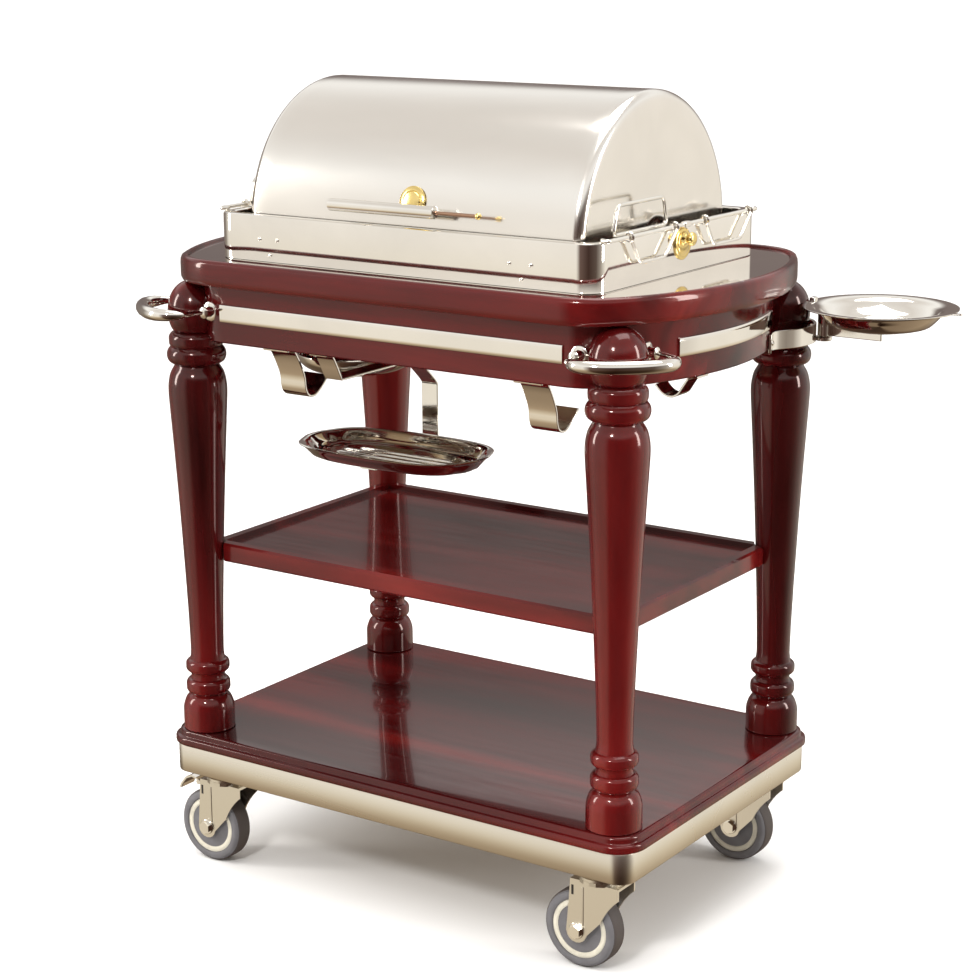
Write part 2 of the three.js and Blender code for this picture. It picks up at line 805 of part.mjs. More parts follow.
// ---- Fittings under the table ----
// Each is a strip whose foot lies flat against the underside of the apron.
const FOOT_Z = APRON.z - GAP - 1.5;
const HOOK_PATH = [
  [-243, FOOT_Z],
  [-228, FOOT_Z - 1],
  [-208, 766],
  [-204, 744],
  [-198, 734],
  [-186, 731],
  [-172, 738],
  [-152, 755],
];
const END_HOOK_PATH = [
  [393, FOOT_Z],
  [381, FOOT_Z - 1],
  [371, 788],
  [363, 777],
  [352, 773],
  [340, 777],
  [330, 787],
];
const HOOK_WIDTH = 44;
add("hook_front_left", stripAcross(HOOK_PATH, 3, HOOK_WIDTH).translate(-192, 0, 0), satin());
add("hook_front_right", stripAcross(HOOK_PATH, 3, HOOK_WIDTH).translate(226, 0, 0), satin());
add("hook_right_end", bentStrip(END_HOOK_PATH, 3, 30).translate(0, -79, 0), satin());

// A flat rail runs from front to back below the sweep of the lid and holds the burner dish.
const UNDER_RAIL = { x: -120, width: 30, z: 764 };
const UNDER_RAIL_PATH = [
  [-240, FOOT_Z],
  [-226, FOOT_Z - 1],
  [-205, UNDER_RAIL.z],
  [205, UNDER_RAIL.z],
  [226, FOOT_Z - 1],
  [240, FOOT_Z],
];
const BURNER = { x: -222, y: -20 };

function burnerCarrierGeometry() {
  const rail = stripAcross(UNDER_RAIL_PATH, 3, UNDER_RAIL.width).translate(UNDER_RAIL.x, 0, 0);
  const profile = [
    [0, 734],
    [50, 734],
    [76, 741],
    [89, 755],
    [89, 764],
    [87, 764],
    [87, 756],
    [75, 743],
    [49, 736],
    [0, 736],
  ];
  const bowl = turned(profile, 20).translate(BURNER.x, BURNER.y, 0);
  const tongue = new THREE.BoxGeometry(24, 24, 2).translate(-130, BURNER.y, 763.5);
  return join(rail, bowl, tongue);
}
add("burner_carrier", burnerCarrierGeometry(), polished());

const TRAY = { x: -105, y: -84, halfX: 153, halfY: 86, z: 625, rimZ: 647 };
const STRAP = { x: -113, width: 28, backY: 14, underY: -140 };
const STRAP_TOP = UNDER_RAIL.z - 3 - GAP;
const STRAP_PATH = [
  [-52, STRAP_TOP],
  [-30, STRAP_TOP],
  [STRAP.backY, 722],
  [STRAP.backY, TRAY.z + 7],
  [STRAP.backY - 4, TRAY.z - GAP - 1.5],
  [STRAP.underY, TRAY.z - GAP - 1.5],
];
add("tray_strap", stripAcross(STRAP_PATH, 3, STRAP.width).translate(STRAP.x, 0, 0), polished());

// Rings of points at rising and falling levels, joined into one thin-walled vessel.
function lofted(levels, outlineAt) {
  const loops = levels.map(([inset, z]) => outlineAt(inset).map((p) => [p.x, p.y, z]));
  const count = loops[0].length;
  const positions = loops.flat(2);
  const faces = [];
  for (let i = 0; i < loops.length - 1; i += 1) {
    for (let j = 0; j < count; j += 1) {
      const a = i * count + j;
      const b = i * count + ((j + 1) % count);
      faces.push(a, b, b + count, a, b + count, a + count);
    }
  }
  const last = (loops.length - 1) * count;
  for (let j = 1; j < count - 1; j += 1) {
    faces.push(0, j + 1, j, last, last + j, last + j + 1);
  }
  const geometry = new THREE.BufferGeometry();
  geometry.setAttribute("position", new THREE.Float32BufferAttribute(positions, 3));
  geometry.setIndex(faces);
  return fixWinding(geometry);
}

// The tray's plan: a long round-ended outline, drawn out into a small tip at each end.
const TRAY_SQUARENESS = 0.62;

function trayOutline(inset) {
  const count = 32;
  return Array.from({ length: count }, (_, i) => {
    const angle = (i / count) * Math.PI * 2;
    const c = Math.cos(angle);
    const s = Math.sin(angle);
    const tip = 7 * Math.exp(-((s / 0.16) ** 2));
    const x = Math.sign(c) * (Math.abs(c) ** TRAY_SQUARENESS * (TRAY.halfX - 7 - inset) + tip);
    const y = Math.sign(s) * Math.abs(s) ** TRAY_SQUARENESS * (TRAY.halfY - inset);
    return new THREE.Vector2(x, y);
  });
}

function trayGeometry() {
  const { z, rimZ } = TRAY;
  const levels = [
    [26, z],
    [16, z + 4],
    [7, rimZ - 4],
    [0, rimZ - 2],
    [0, rimZ],
    [8.5, rimZ - 1.5],
    [19.5, z + 5],
    [27, z + 2.2],
  ];
  return lofted(levels, trayOutline).translate(TRAY.x, TRAY.y, 0);
}
add("hanging_tray", trayGeometry(), polished());

// ---- Plate holder on the back right corner ----
// The bracket is a strip on edge, bent round the outside of the leg from end face to back face.
const BRACKET = { z: 800, height: 26, thickness: 4 };
const BRACKET_PATH = [
  [apronX(118) + 2.6, 118],
  [apronX(146) + 3, 146],
  [399, 184],
  [402, 222],
  [391, 250],
  [366, 272],
  [328, 262],
  [306, 251.6],
  [284, 251.6],
];
const LUG_TOP = 806;

function plateBracketGeometry() {
  const outline = stripOutline(BRACKET_PATH, BRACKET.thickness);
  const strap = plate(outline, BRACKET.z, BRACKET.height);
  const { x, y } = ARM_PIVOT;
  const profile = [
    [0, BRACKET.z],
    [12, BRACKET.z],
    [12, LUG_TOP],
    [5, LUG_TOP],
    [5, 844],
    [3, 847],
    [0, 848],
  ];
  const lug = turned(profile, 16).translate(x, y, 0);
  return join(strap, lug);
}
add("plate_bracket", plateBracketGeometry(), polished());

// The arm turns on the bracket's pin and carries a round seat for the dish.
function plateArmGeometry() {
  const { x, y } = ARM_PIVOT;
  const low = LUG_TOP + GAP;
  const barrel = rod("z", 9, low, 842, 16).translate(x, y, 0);
  const bore = rod("z", 5.4, low - 5, 850, 16).translate(x, y, 0);
  const blade = new THREE.BoxGeometry(DISH.x - x - 4, 4, 20);
  blade.translate((x + DISH.x + 4) / 2, y, low + 10);
  const seat = turned(
    [
      [0, 824.4],
      [45, 825.4],
      [46, 828.4],
      [0, 828.4],
    ],
    24,
  );
  seat.translate(DISH.x, DISH.y, 0);
  return cut(join(barrel, blade, seat), bore);
}
add("plate_arm", plateArmGeometry(), polished());

function servingDishGeometry() {
  const { x, y, z, radius } = DISH;
  const low = 828.7;
  const profile = [
    [0, low],
    [58, low],
    [70, low + 3],
    [87, z - 6],
    [93, z - 2.5],
    [radius, z - 1.5],
    [radius, z + 0.5],
    [92, z - 0.5],
    [85, z - 3.5],
    [69, low + 5],
    [57, low + 2],
    [0, low + 2],
  ];
  const bowl = turned(profile, 28);
  const tab = plate(roundedRect(9, 7, 4), z - 1.5, 2, { curveSegments: 3 });
  tab.translate(radius + 4, 0, 0);
  const lug = new THREE.BoxGeometry(8, 12, 6).translate(-radius + 5, 0, z + 2);
  return join(bowl, tab, lug).translate(x, y, 0);
}
add("serving_dish", servingDishGeometry(), polished());

// The frame's origin is on the floor, under the middle of the whole object's outline.
const extent = new THREE.Box3().setFromObject(trolley, true);
trolley.position.set(-(extent.min.x + extent.max.x) / 2, -(extent.min.y + extent.max.y) / 2, 0);

export default trolley;
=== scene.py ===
"""A mahogany carving trolley with a roll-top chafing dish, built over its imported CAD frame.

Lengths are millimetres from the middle of the trolley (x, y) and the floor (z); at() turns them
into the frame's metres.
"""
import math

import bmesh
import bpy
from mathutils import Matrix, Vector


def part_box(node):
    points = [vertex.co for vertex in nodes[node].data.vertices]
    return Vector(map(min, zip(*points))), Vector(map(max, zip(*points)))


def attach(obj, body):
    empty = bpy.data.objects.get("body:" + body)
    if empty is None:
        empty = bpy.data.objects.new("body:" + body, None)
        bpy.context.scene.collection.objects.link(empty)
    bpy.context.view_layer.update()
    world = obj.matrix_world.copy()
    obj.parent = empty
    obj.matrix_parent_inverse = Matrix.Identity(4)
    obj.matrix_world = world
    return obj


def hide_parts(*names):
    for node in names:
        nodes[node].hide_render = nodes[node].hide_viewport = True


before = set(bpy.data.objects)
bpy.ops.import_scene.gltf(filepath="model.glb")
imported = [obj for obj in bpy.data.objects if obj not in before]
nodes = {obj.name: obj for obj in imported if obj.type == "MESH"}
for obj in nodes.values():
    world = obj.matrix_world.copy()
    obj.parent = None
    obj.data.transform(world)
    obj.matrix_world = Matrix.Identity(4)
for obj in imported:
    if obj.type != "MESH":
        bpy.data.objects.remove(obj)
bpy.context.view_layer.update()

MM = 0.001
shelf_low, shelf_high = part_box("base_board")
MIDDLE = Vector(((shelf_low.x + shelf_high.x) / 2, (shelf_low.y + shelf_high.y) / 2, 0))


def at(x, y, z):
    return MIDDLE + Vector((x, y, z)) * MM


# ---- Sizes shared by several pieces, from the frame ----
def high(node):
    return (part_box(node)[1] - MIDDLE) / MM


def low(node):
    return (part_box(node)[0] - MIDDLE) / MM


SLAB_X, SLAB_Y, SLAB_TOP = high("top_slab")
SLAB_BOTTOM = low("top_slab").z
END_RADIUS = 450
CORNER_RADIUS = 105
OVERHANG = 31
DECK_TOP = high("deck_plate").z
BOX_X, BOX_Y, BOX_TOP = high("chafer_box")
BOX_RADIUS = 32
LEG_X = (low("leg_front_right").x + high("leg_front_right").x) / 2
LEG_RADIUS = 42.5
LEG_Y = high("leg_back_left").y - LEG_RADIUS
LID_X = high("roll_top_lid").x
PIVOT_Z = 968
LID_RADIUS = 195
BAND_LOW = low("trim_band_front").z
BAND_HIGH = high("trim_band_front").z
HANDLE_Z = (BAND_LOW + BAND_HIGH) / 2
RAIL_X = 319.5
RAIL_Z = 987
BAIL_X = 301
AXIS_RADIUS = 0.01  # where a turned profile meets its axis
CORNERS = {"front_left": (-1, -1), "front_right": (1, -1), "back_right": (1, 1), "back_left": (-1, 1)}


# ---- Node helpers for materials ----
def shader_of(made):
    return made.node_tree.nodes["Principled BSDF"]


def material(name, color, roughness, metallic=0.0, **inputs):
    """A principled material; inputs are further sockets, with _ for the spaces in their names."""
    made = bpy.data.materials.new(name)
    made.use_nodes = True
    shader = shader_of(made)
    shader.inputs["Base Color"].default_value = (*color, 1)
    shader.inputs["Roughness"].default_value = roughness
    shader.inputs["Metallic"].default_value = metallic
    for socket, value in inputs.items():
        shader.inputs[socket.replace("_", " ")].default_value = value
    return made


def noise_of(made, scale, stretch=(1, 1, 1), detail=4, distortion=0.0):
    tree = made.node_tree
    coordinates = tree.nodes.new("ShaderNodeTexCoord")
    mapping = tree.nodes.new("ShaderNodeMapping")
    mapping.inputs["Scale"].default_value = stretch
    noise = tree.nodes.new("ShaderNodeTexNoise")
    noise.inputs["Scale"].default_value = scale
    noise.inputs["Detail"].default_value = detail
    noise.inputs["Distortion"].default_value = distortion
    tree.links.new(coordinates.outputs["Object"], mapping.inputs["Vector"])
    tree.links.new(mapping.outputs["Vector"], noise.inputs["Vector"])
    return noise


def ramp_of(tree, source, stops):
    """The colour of a ramp fed by a socket; its stops are (place, colour)."""
    ramp = tree.nodes.new("ShaderNodeValToRGB")
    elements = ramp.color_ramp.elements
    while len(elements) < len(stops):
        elements.new(0.5)
    for element, (place, color) in zip(elements, stops):
        element.position = place
        element.color = (*color, 1)
    tree.links.new(source, ramp.inputs["Fac"])
    return ramp.outputs["Color"]


def color_from(made, noise, stops):
    shader = shader_of(made)
    color = ramp_of(made.node_tree, noise.outputs["Fac"], stops)
    made.node_tree.links.new(color, shader.inputs["Base Color"])


def roughness_from(made, noise, smooth, rough):
    spread = made.node_tree.nodes.new("ShaderNodeMapRange")
    spread.inputs["From Min"].default_value = 0.3
    spread.inputs["From Max"].default_value = 0.7
    spread.inputs["To Min"].default_value = smooth
    spread.inputs["To Max"].default_value = rough
    made.node_tree.links.new(noise.outputs["Fac"], spread.inputs["Value"])
    shader = shader_of(made)
    made.node_tree.links.new(spread.outputs["Result"], shader.inputs["Roughness"])


def bump_from(made, noise, strength, distance):
    bump = made.node_tree.nodes.new("ShaderNodeBump")
    bump.inputs["Strength"].default_value = strength
    bump.inputs["Distance"].default_value = distance
    made.node_tree.links.new(noise.outputs["Fac"], bump.inputs["Height"])
    shader = shader_of(made)
    made.node_tree.links.new(bump.outputs["Normal"], shader.inputs["Normal"])


# ---- Materials ----
def mahogany(name, grain):
    """Varnished mahogany; grain stretches the figure along the wood's length."""
    made = material(name, (0.10, 0.006, 0.006), 0.2, Coat_Weight=0.5, Coat_Roughness=0.03)
    shader = shader_of(made)
    shader.inputs["Specular IOR Level"].default_value = 0.32
    shader.inputs["Specular Tint"].default_value = (1, 0.62, 0.56, 1)
    figure = noise_of(made, 9, grain, detail=8, distortion=0.6)
    color_from(
        made,
        figure,
        [
            (0.30, (0.012, 0.0010, 0.0012)),
            (0.47, (0.046, 0.0024, 0.0028)),
            (0.60, (0.098, 0.0046, 0.0046)),
            (0.74, (0.170, 0.0105, 0.0080)),
        ],
    )
    pores = noise_of(made, 90, grain, detail=3)
    roughness_from(made, pores, 0.10, 0.22)
    bump_from(made, pores, 0.06, 0.0003)
    return made


def polished_metal(name, color, smooth, rough, stretch=(1, 1, 1)):
    """Plated metal with faint smudges and a surface that isn't quite flat."""
    made = material(name, color, smooth, 1.0)
    smudges = noise_of(made, 7, stretch, detail=5, distortion=0.4)
    roughness_from(made, smudges, smooth, rough)
    color_from(made, smudges, [(0.35, tuple(c * 0.93 for c in color)), (0.65, color)])
    waves = noise_of(made, 5, stretch, detail=1)
    bump_from(made, waves, 0.05, 0.002)
    return made


def plain_detail(name, color, smooth, rough, metallic=0.0):
    """Rubber, plastic or paint with a fine grain; also the flat painted shade of recesses."""
    made = material(name, color, smooth, metallic)
    grain = noise_of(made, 60, detail=5)
    roughness_from(made, grain, smooth, rough)
    color_from(made, grain, [(0.3, tuple(c * 0.80 for c in color)), (0.7, color)])
    bump_from(made, grain, 0.12, 0.0005)
    return made


WOOD_UPRIGHT = mahogany("mahogany_upright", (1.0, 1.0, 0.10))
WOOD_ALONG = mahogany("mahogany_along", (0.10, 1.0, 1.0))
STEEL = polished_metal("polished_steel", (0.91, 0.88, 0.82), 0.03, 0.09)
LID_STEEL = polished_metal("lid_steel", (0.90, 0.87, 0.82), 0.12, 0.20, (0.25, 1, 1))
DECK_STEEL = polished_metal("deck_steel", (0.90, 0.86, 0.82), 0.02, 0.06)
SATIN = polished_metal("satin_steel", (0.84, 0.80, 0.71), 0.22, 0.34, (0.1, 1, 1))
BRASS = polished_metal("brass", (0.86, 0.66, 0.26), 0.14, 0.26)
COPPER = polished_metal("copper_rod", (0.42, 0.26, 0.18), 0.18, 0.30)
# Near-black painted shade for the insides of screw slots, the fork's slots and the grip bar's left end.
RECESS_SHADE = plain_detail("painted_recess_shade", (0.020, 0.015, 0.013), 0.45, 0.6)
TYRE = plain_detail("tyre_rubber", (0.15, 0.145, 0.155), 0.5, 0.65)
TREAD = plain_detail("tread_rubber", (0.070, 0.055, 0.050), 0.5, 0.7)
HUB = plain_detail("hub_plastic", (0.68, 0.64, 0.53), 0.3, 0.45)


# ---- Camera and studio ----
CAMERA_PLACE = (1804.8, -2658.3, 1391.2)
CAMERA_AZIMUTH, CAMERA_PITCH, CAMERA_ROLL = 34.14, -14.21, -0.24
CAMERA_LENS = 83.84
CAMERA_SENSOR = 36
AIM = Vector((0, 0, 0.75))


def make_camera():
    data = bpy.data.cameras.new("camera")
    data.lens = CAMERA_LENS
    data.sensor_width = CAMERA_SENSOR
    camera = bpy.data.objects.new("camera", data)
    camera.location = at(*CAMERA_PLACE)
    azimuth = math.radians(CAMERA_AZIMUTH)
    pitch = math.radians(CAMERA_PITCH)
    roll = math.radians(CAMERA_ROLL)
    turn = Matrix.Rotation(azimuth, 3, "Z") @ Matrix.Rotation(math.pi / 2 + pitch, 3, "X")
    camera.rotation_euler = (turn @ Matrix.Rotation(roll, 3, "Z")).to_euler()
    bpy.context.collection.objects.link(camera)
    bpy.context.scene.camera = camera


def area_light(name, place, size, power, color=(1, 1, 1)):
    """A rectangular light aimed at the trolley; places and sizes are metres."""
    data = bpy.data.lights.new(name, "AREA")
    data.shape = "RECTANGLE"
    data.size, data.size_y = size
    data.energy = power
    data.color = color
    light = bpy.data.objects.new(name, data)
    light.location = place
    light.rotation_euler = (AIM - light.location).to_track_quat("-Z", "Y").to_euler()
    bpy.context.collection.objects.link(light)


def daylight(strength, spread):
    """A wide, soft light from above that only brightens matt surfaces, so metal shows no disc."""
    data = bpy.data.lights.new("daylight", "SUN")
    data.energy = strength
    data.angle = math.radians(spread)
    light = bpy.data.objects.new("daylight", data)
    light.rotation_euler = (math.radians(14), math.radians(-10), 0)
    light.visible_glossy = False
    bpy.context.collection.objects.link(light)


# How bright the studio's walls are by height: 0 straight down, 0.5 level, 1 straight up.
WALL_BY_HEIGHT = [
    (0.00, (0.24, 0.17, 0.11)),
    (0.20, (0.46, 0.35, 0.23)),
    (0.29, (0.78, 0.68, 0.52)),
    (0.38, (0.95, 0.90, 0.80)),
    (0.50, (0.98, 0.94, 0.88)),
    (0.76, (1.00, 0.99, 0.97)),
    (0.90, (0.78, 0.74, 0.70)),
    (1.00, (0.92, 0.90, 0.87)),
]
# Pale screens and dark gaps going round the studio, from -X through -Y, +X and +Y.
SCREENS_ROUND = [
    (0.00, (0.30, 0.27, 0.25)),
    (0.07, (0.92, 0.91, 0.90)),
    (0.20, (0.96, 0.95, 0.94)),
    (0.25, (0.16, 0.11, 0.10)),
    (0.36, (0.06, 0.035, 0.03)),
    (0.46, (0.12, 0.09, 0.08)),
    (0.52, (0.36, 0.33, 0.31)),
    (0.60, (0.97, 0.96, 0.95)),
    (0.71, (0.95, 0.94, 0.93)),
    (0.78, (0.24, 0.20, 0.19)),
    (0.88, (0.19, 0.16, 0.16)),
    (1.00, (0.30, 0.27, 0.25)),
]


MIX_A, MIX_B, MIX_RESULT = 6, 7, 2  # the colour sockets of a Mix node
CEILING_STARTS, CEILING_FULL = 0.24, 0.46  # heights on the unit sphere of directions


def make_world():
    """A studio with pale screens to the left and right, dark gaps between and a bright ceiling."""
    world = bpy.data.worlds.new("studio")
    bpy.context.scene.world = world
    world.use_nodes = True
    tree = world.node_tree
    background = tree.nodes["Background"]
    coordinates = tree.nodes.new("ShaderNodeTexCoord")
    split = tree.nodes.new("ShaderNodeSeparateXYZ")
    tree.links.new(coordinates.outputs["Generated"], split.inputs["Vector"])
    height = tree.nodes.new("ShaderNodeMapRange")
    height.inputs["From Min"].default_value = -1
    tree.links.new(split.outputs["Z"], height.inputs["Value"])
    around = tree.nodes.new("ShaderNodeTexGradient")
    around.gradient_type = "RADIAL"
    tree.links.new(coordinates.outputs["Generated"], around.inputs["Vector"])
    walls = ramp_of(tree, height.outputs["Result"], WALL_BY_HEIGHT)
    screens = ramp_of(tree, around.outputs["Fac"], SCREENS_ROUND)
    ceiling = tree.nodes.new("ShaderNodeMapRange")
    ceiling.interpolation_type = "SMOOTHSTEP"
    ceiling.inputs["From Min"].default_value = CEILING_STARTS
    ceiling.inputs["From Max"].default_value = CEILING_FULL
    tree.links.new(split.outputs["Z"], ceiling.inputs["Value"])
    above = tree.nodes.new("ShaderNodeMix")
    above.data_type = "RGBA"
    above.inputs[MIX_B].default_value = (1, 1, 1, 1)
    tree.links.new(ceiling.outputs["Result"], above.inputs["Factor"])
    tree.links.new(screens, above.inputs[MIX_A])
    both = tree.nodes.new("ShaderNodeMix")
    both.data_type = "RGBA"
    both.blend_type = "MULTIPLY"
    both.inputs["Factor"].default_value = 1
    tree.links.new(walls, both.inputs[MIX_A])
    tree.links.new(above.outputs[MIX_RESULT], both.inputs[MIX_B])
    tree.links.new(both.outputs[MIX_RESULT], background.inputs["Color"])
    background.inputs["Strength"].default_value = 1.0


def make_floor():
    """White paper that the metal doesn't mirror: it shows the studio's warm walls instead."""
    mesh = bpy.data.meshes.new("studio_floor")
    reach = 120  # metres
    corners = [(-reach, -reach, 0), (reach, -reach, 0), (reach, reach, 0), (-reach, reach, 0)]
    mesh.from_pydata(corners, [], [(0, 1, 2, 3)])
    floor = bpy.data.objects.new("studio_floor", mesh)
    floor.visible_glossy = False
    bpy.context.collection.objects.link(floor)
    paper = material("floor_paper", (0.95, 0.95, 0.95), 1.0)
    shader_of(paper).inputs["Specular IOR Level"].default_value = 0
    mesh.materials.append(paper)


BACKDROP_RADIUS = 60  # metres


def make_backdrop():
    """A white dome that only the view sees, so it neither lights the trolley nor shows in its metal."""
    mesh = bpy.data.meshes.new("studio_backdrop")
    dome = bmesh.new()
    bmesh.ops.create_icosphere(dome, subdivisions=4, radius=BACKDROP_RADIUS)
    dome.to_mesh(mesh)
    dome.free()
    backdrop = bpy.data.objects.new("studio_backdrop", mesh)
    backdrop.visible_diffuse = False
    backdrop.visible_glossy = False
    backdrop.visible_transmission = False
    backdrop.visible_shadow = False
    bpy.context.collection.objects.link(backdrop)
    white = material("backdrop_white", (0, 0, 0), 1.0, Emission_Color=(1, 1, 1, 1), Emission_Strength=1.0)
    shader_of(white).inputs["Specular IOR Level"].default_value = 0
    mesh.materials.append(white)


make_camera()
make_world()
make_floor()
make_backdrop()
bpy.context.scene.view_settings.view_transform = "Standard"
area_light("key", (0.6, -3.4, 2.9), (0.5, 0.5), 60, (1, 0.98, 0.95))
area_light("left_strip", (-2.8, -1.8, 1.6), (0.5, 1.8), 40, (1, 0.96, 0.90))
area_light("right_strip", (3.0, 0.9, 1.6), (0.5, 1.8), 40, (1, 0.97, 0.93))
area_light("top", (0.2, 0.4, 3.6), (2.6, 2.0), 60)
daylight(1.5, 70)


# ---- Mesh helpers ----
def piece(name, points, faces, made, body="trolley", stands_for=(), sharp=35):
    """A mesh from points in millimetres, smooth but for its edges sharper than the angle."""
    mesh = bpy.data.meshes.new(name)
    mesh.from_pydata([at(*p) for p in points], [], faces)
    shape = bmesh.new()
    shape.from_mesh(mesh)
    bmesh.ops.remove_doubles(shape, verts=shape.verts, dist=1e-6)
    bmesh.ops.recalc_face_normals(shape, faces=shape.faces)
    shape.to_mesh(mesh)
    shape.free()
    mesh.shade_smooth()
    mesh.set_sharp_from_angle(angle=math.radians(sharp))
    mesh.materials.append(made)
    obj = bpy.data.objects.new(name, mesh)
    bpy.context.collection.objects.link(obj)
    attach(obj, body)
    if stands_for:
        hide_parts(*stands_for)
    return obj


def bevel(obj, width, segments=2):
    modifier = obj.modifiers.new("soft_edges", "BEVEL")
    modifier.width = width * MM
    modifier.segments = segments
    modifier.limit_method = "ANGLE"
    modifier.angle_limit = math.radians(30)
    return obj


def arc(cx, cy, radius, start, end, steps):
    """Points along an arc from one angle to another."""
    angles = [start + (end - start) * i / steps for i in range(steps + 1)]
    return [(cx + radius * math.cos(a), cy + radius * math.sin(a)) for a in angles]


def rounded_rect(x, y, radius, steps=10):
    """A function that gives the outline moved inwards by an inset."""
    def outline(inset):
        r = max(radius - inset, 0.5)
        ix, iy = x - inset - r, y - inset - r
        quarter = math.pi / 2
        points = []
        for i, (cx, cy) in enumerate([(ix, iy), (-ix, iy), (-ix, -iy), (ix, -iy)]):
            points += arc(cx, cy, r, quarter * i, quarter * (i + 1), steps)
        return points
    return outline


END_CENTRE = SLAB_X - END_RADIUS
CORNER_Y = SLAB_Y - CORNER_RADIUS
CORNER_REACH = END_RADIUS - CORNER_RADIUS
CORNER_X = END_CENTRE + math.sqrt(CORNER_REACH**2 - CORNER_Y**2)
CORNER_TURN = math.asin(CORNER_Y / CORNER_REACH)


def table_outline(inset):
    """Straight front and back, bowed ends, rounded corners."""
    end, corner, turn = END_RADIUS - inset, CORNER_RADIUS - inset, CORNER_TURN
    quarter = math.pi / 2
    right = arc(END_CENTRE, 0, end, -turn, turn, 24)
    back_right = arc(CORNER_X, CORNER_Y, corner, turn, quarter, 14)[1:]
    back_left = arc(-CORNER_X, CORNER_Y, corner, quarter, math.pi - turn, 14)
    left = arc(-END_CENTRE, 0, end, math.pi - turn, math.pi + turn, 24)[1:]
    front_left = arc(-CORNER_X, -CORNER_Y, corner, math.pi + turn, 3 * quarter, 14)[1:]
    front_right = arc(CORNER_X, -CORNER_Y, corner, 3 * quarter, 4 * quarter - turn, 14)[:-1]
    return right + back_right + back_left + left + front_left + front_right


def table_ring(inset, z):
    return [(x, y, z) for x, y in table_outline(inset)]


def apron_x(y):
    """How far out the apron's bowed end is at a y."""
    return END_CENTRE + math.sqrt((END_RADIUS - OVERHANG) ** 2 - y**2)


def apron_y(x):
    """How far out the apron's long side and its corner are at an x."""
    radius = CORNER_RADIUS - OVERHANG
    return CORNER_Y + math.sqrt(radius**2 - max(0, x - CORNER_X) ** 2)


def stacked(rings, hoop):
    """Points and faces from rings of equal length; a hoop joins its last ring to its first."""
    count = len(rings[0])
    points = [p for ring in rings for p in ring]
    spans = len(rings) if hoop else len(rings) - 1
    faces = []
    for i in range(spans):
        a, b = i * count, (i + 1) % len(rings) * count
        faces += [(a + j, a + (j + 1) % count, b + (j + 1) % count, b + j) for j in range(count)]
    if not hoop:
        faces.append(tuple(range(count)))
        faces.append(tuple(range(len(points) - count, len(points))))
    return points, faces


def lofted(name, outline, levels, made, hoop=False, **options):
    """outline(inset) carried through levels of (inset, z)."""
    rings = [[(x, y, z) for x, y in outline(inset)] for inset, z in levels]
    return piece(name, *stacked(rings, hoop), made, **options)


def catmull_rom(p0, p1, p2, p3, t):
    square = 2 * p0 - 5 * p1 + 4 * p2 - p3
    cube = 3 * p1 - p0 - 3 * p2 + p3
    return 0.5 * (2 * p1 + (p2 - p0) * t + square * t * t + cube * t**3)


def smooth_through(points, per=5):
    """A Catmull-Rom curve through the points; a point given twice stays a sharp corner."""
    result = []
    for i in range(len(points) - 1):
        a, b = points[i], points[i + 1]
        if a == b:
            continue
        before = points[i - 1] if i > 0 else a
        after = points[i + 2] if i + 2 < len(points) else b
        for k in range(per):
            t = k / per
            result.append(tuple(catmull_rom(*four, t) for four in zip(before, a, b, after)))
    return result + [points[-1]]


AXES = {
    "z": lambda r, h, a: (r * math.cos(a), r * math.sin(a), h),
    "x": lambda r, h, a: (h, r * math.cos(a), r * math.sin(a)),
    "y": lambda r, h, a: (r * math.cos(a), h, r * math.sin(a)),
}


def turned(name, profile, centre, made, axis="z", segments=48, flip=1, **options):
    """A profile of (radius, height) spun about an axis through the centre."""
    rings = []
    turns = [2 * math.pi * k / segments for k in range(segments)]
    for radius, height in profile:
        ring = [AXES[axis](max(radius, AXIS_RADIUS), height * flip, a) for a in turns]
        rings.append([(centre[0] + x, centre[1] + y, centre[2] + z) for x, y, z in ring])
    return piece(name, *stacked(rings, False), made, **options)


def tube(name, path, radii, made, closed=False, sides=14, **options):
    """A round bar along a path of (x, y, z), its radius changing along it."""
    path = [Vector(p) for p in path]
    count = len(path)
    reference = Vector((0, 0, 1))
    tangents = []
    for i in range(count):
        after = path[(i + 1) % count] if closed or i < count - 1 else path[i]
        before = path[i - 1] if closed or i > 0 else path[i]
        tangents.append((after - before).normalized())
    if abs(tangents[0].dot(reference)) > 0.9:
        reference = Vector((0, 1, 0))
    side = (reference - tangents[0] * reference.dot(tangents[0])).normalized()
    rings = []
    for i, (centre, along) in enumerate(zip(path, tangents)):
        side = (side - along * side.dot(along)).normalized()
        across = along.cross(side)
        place = i / (count - 1) * (len(radii) - 1)
        lower = min(int(place), len(radii) - 2) if len(radii) > 1 else 0
        radius = radii[lower] + (radii[min(lower + 1, len(radii) - 1)] - radii[lower]) * (place - lower)
        ring = [2 * math.pi * k / sides for k in range(sides)]
        rings.append([tuple(centre + (side * math.cos(a) + across * math.sin(a)) * radius) for a in ring])
    return piece(name, *stacked(rings, closed), made, **options)


def prism(name, plan, low_z, high_z, made, soft, segments=2, **options):
    """A flat plan of (x, y) given a height, with soft edges."""
    rings = [[(x, y, z) for x, y in plan] for z in (low_z, high_z)]
    return bevel(piece(name, *stacked(rings, False), made, **options), soft, segments)


def strip(name, path, thickness, width, place, made, **options):
    """A bent flat strip; place(u, w, v) puts path point (u, v) and offset w across into space."""
    path = smooth_through(path, 4)
    rings = []
    for i, (u, v) in enumerate(path):
        before, after = path[max(i - 1, 0)], path[min(i + 1, len(path) - 1)]
        run = Vector((after[0] - before[0], after[1] - before[1])).normalized() * (thickness / 2)
        near, far = (u - run.y, v + run.x), (u + run.y, v - run.x)
        corners = [(near, -1), (near, 1), (far, 1), (far, -1)]
        rings.append([place(p[0], sign * width / 2, p[1]) for p, sign in corners])
    return bevel(piece(name, *stacked(rings, False), made, **options), 0.7)


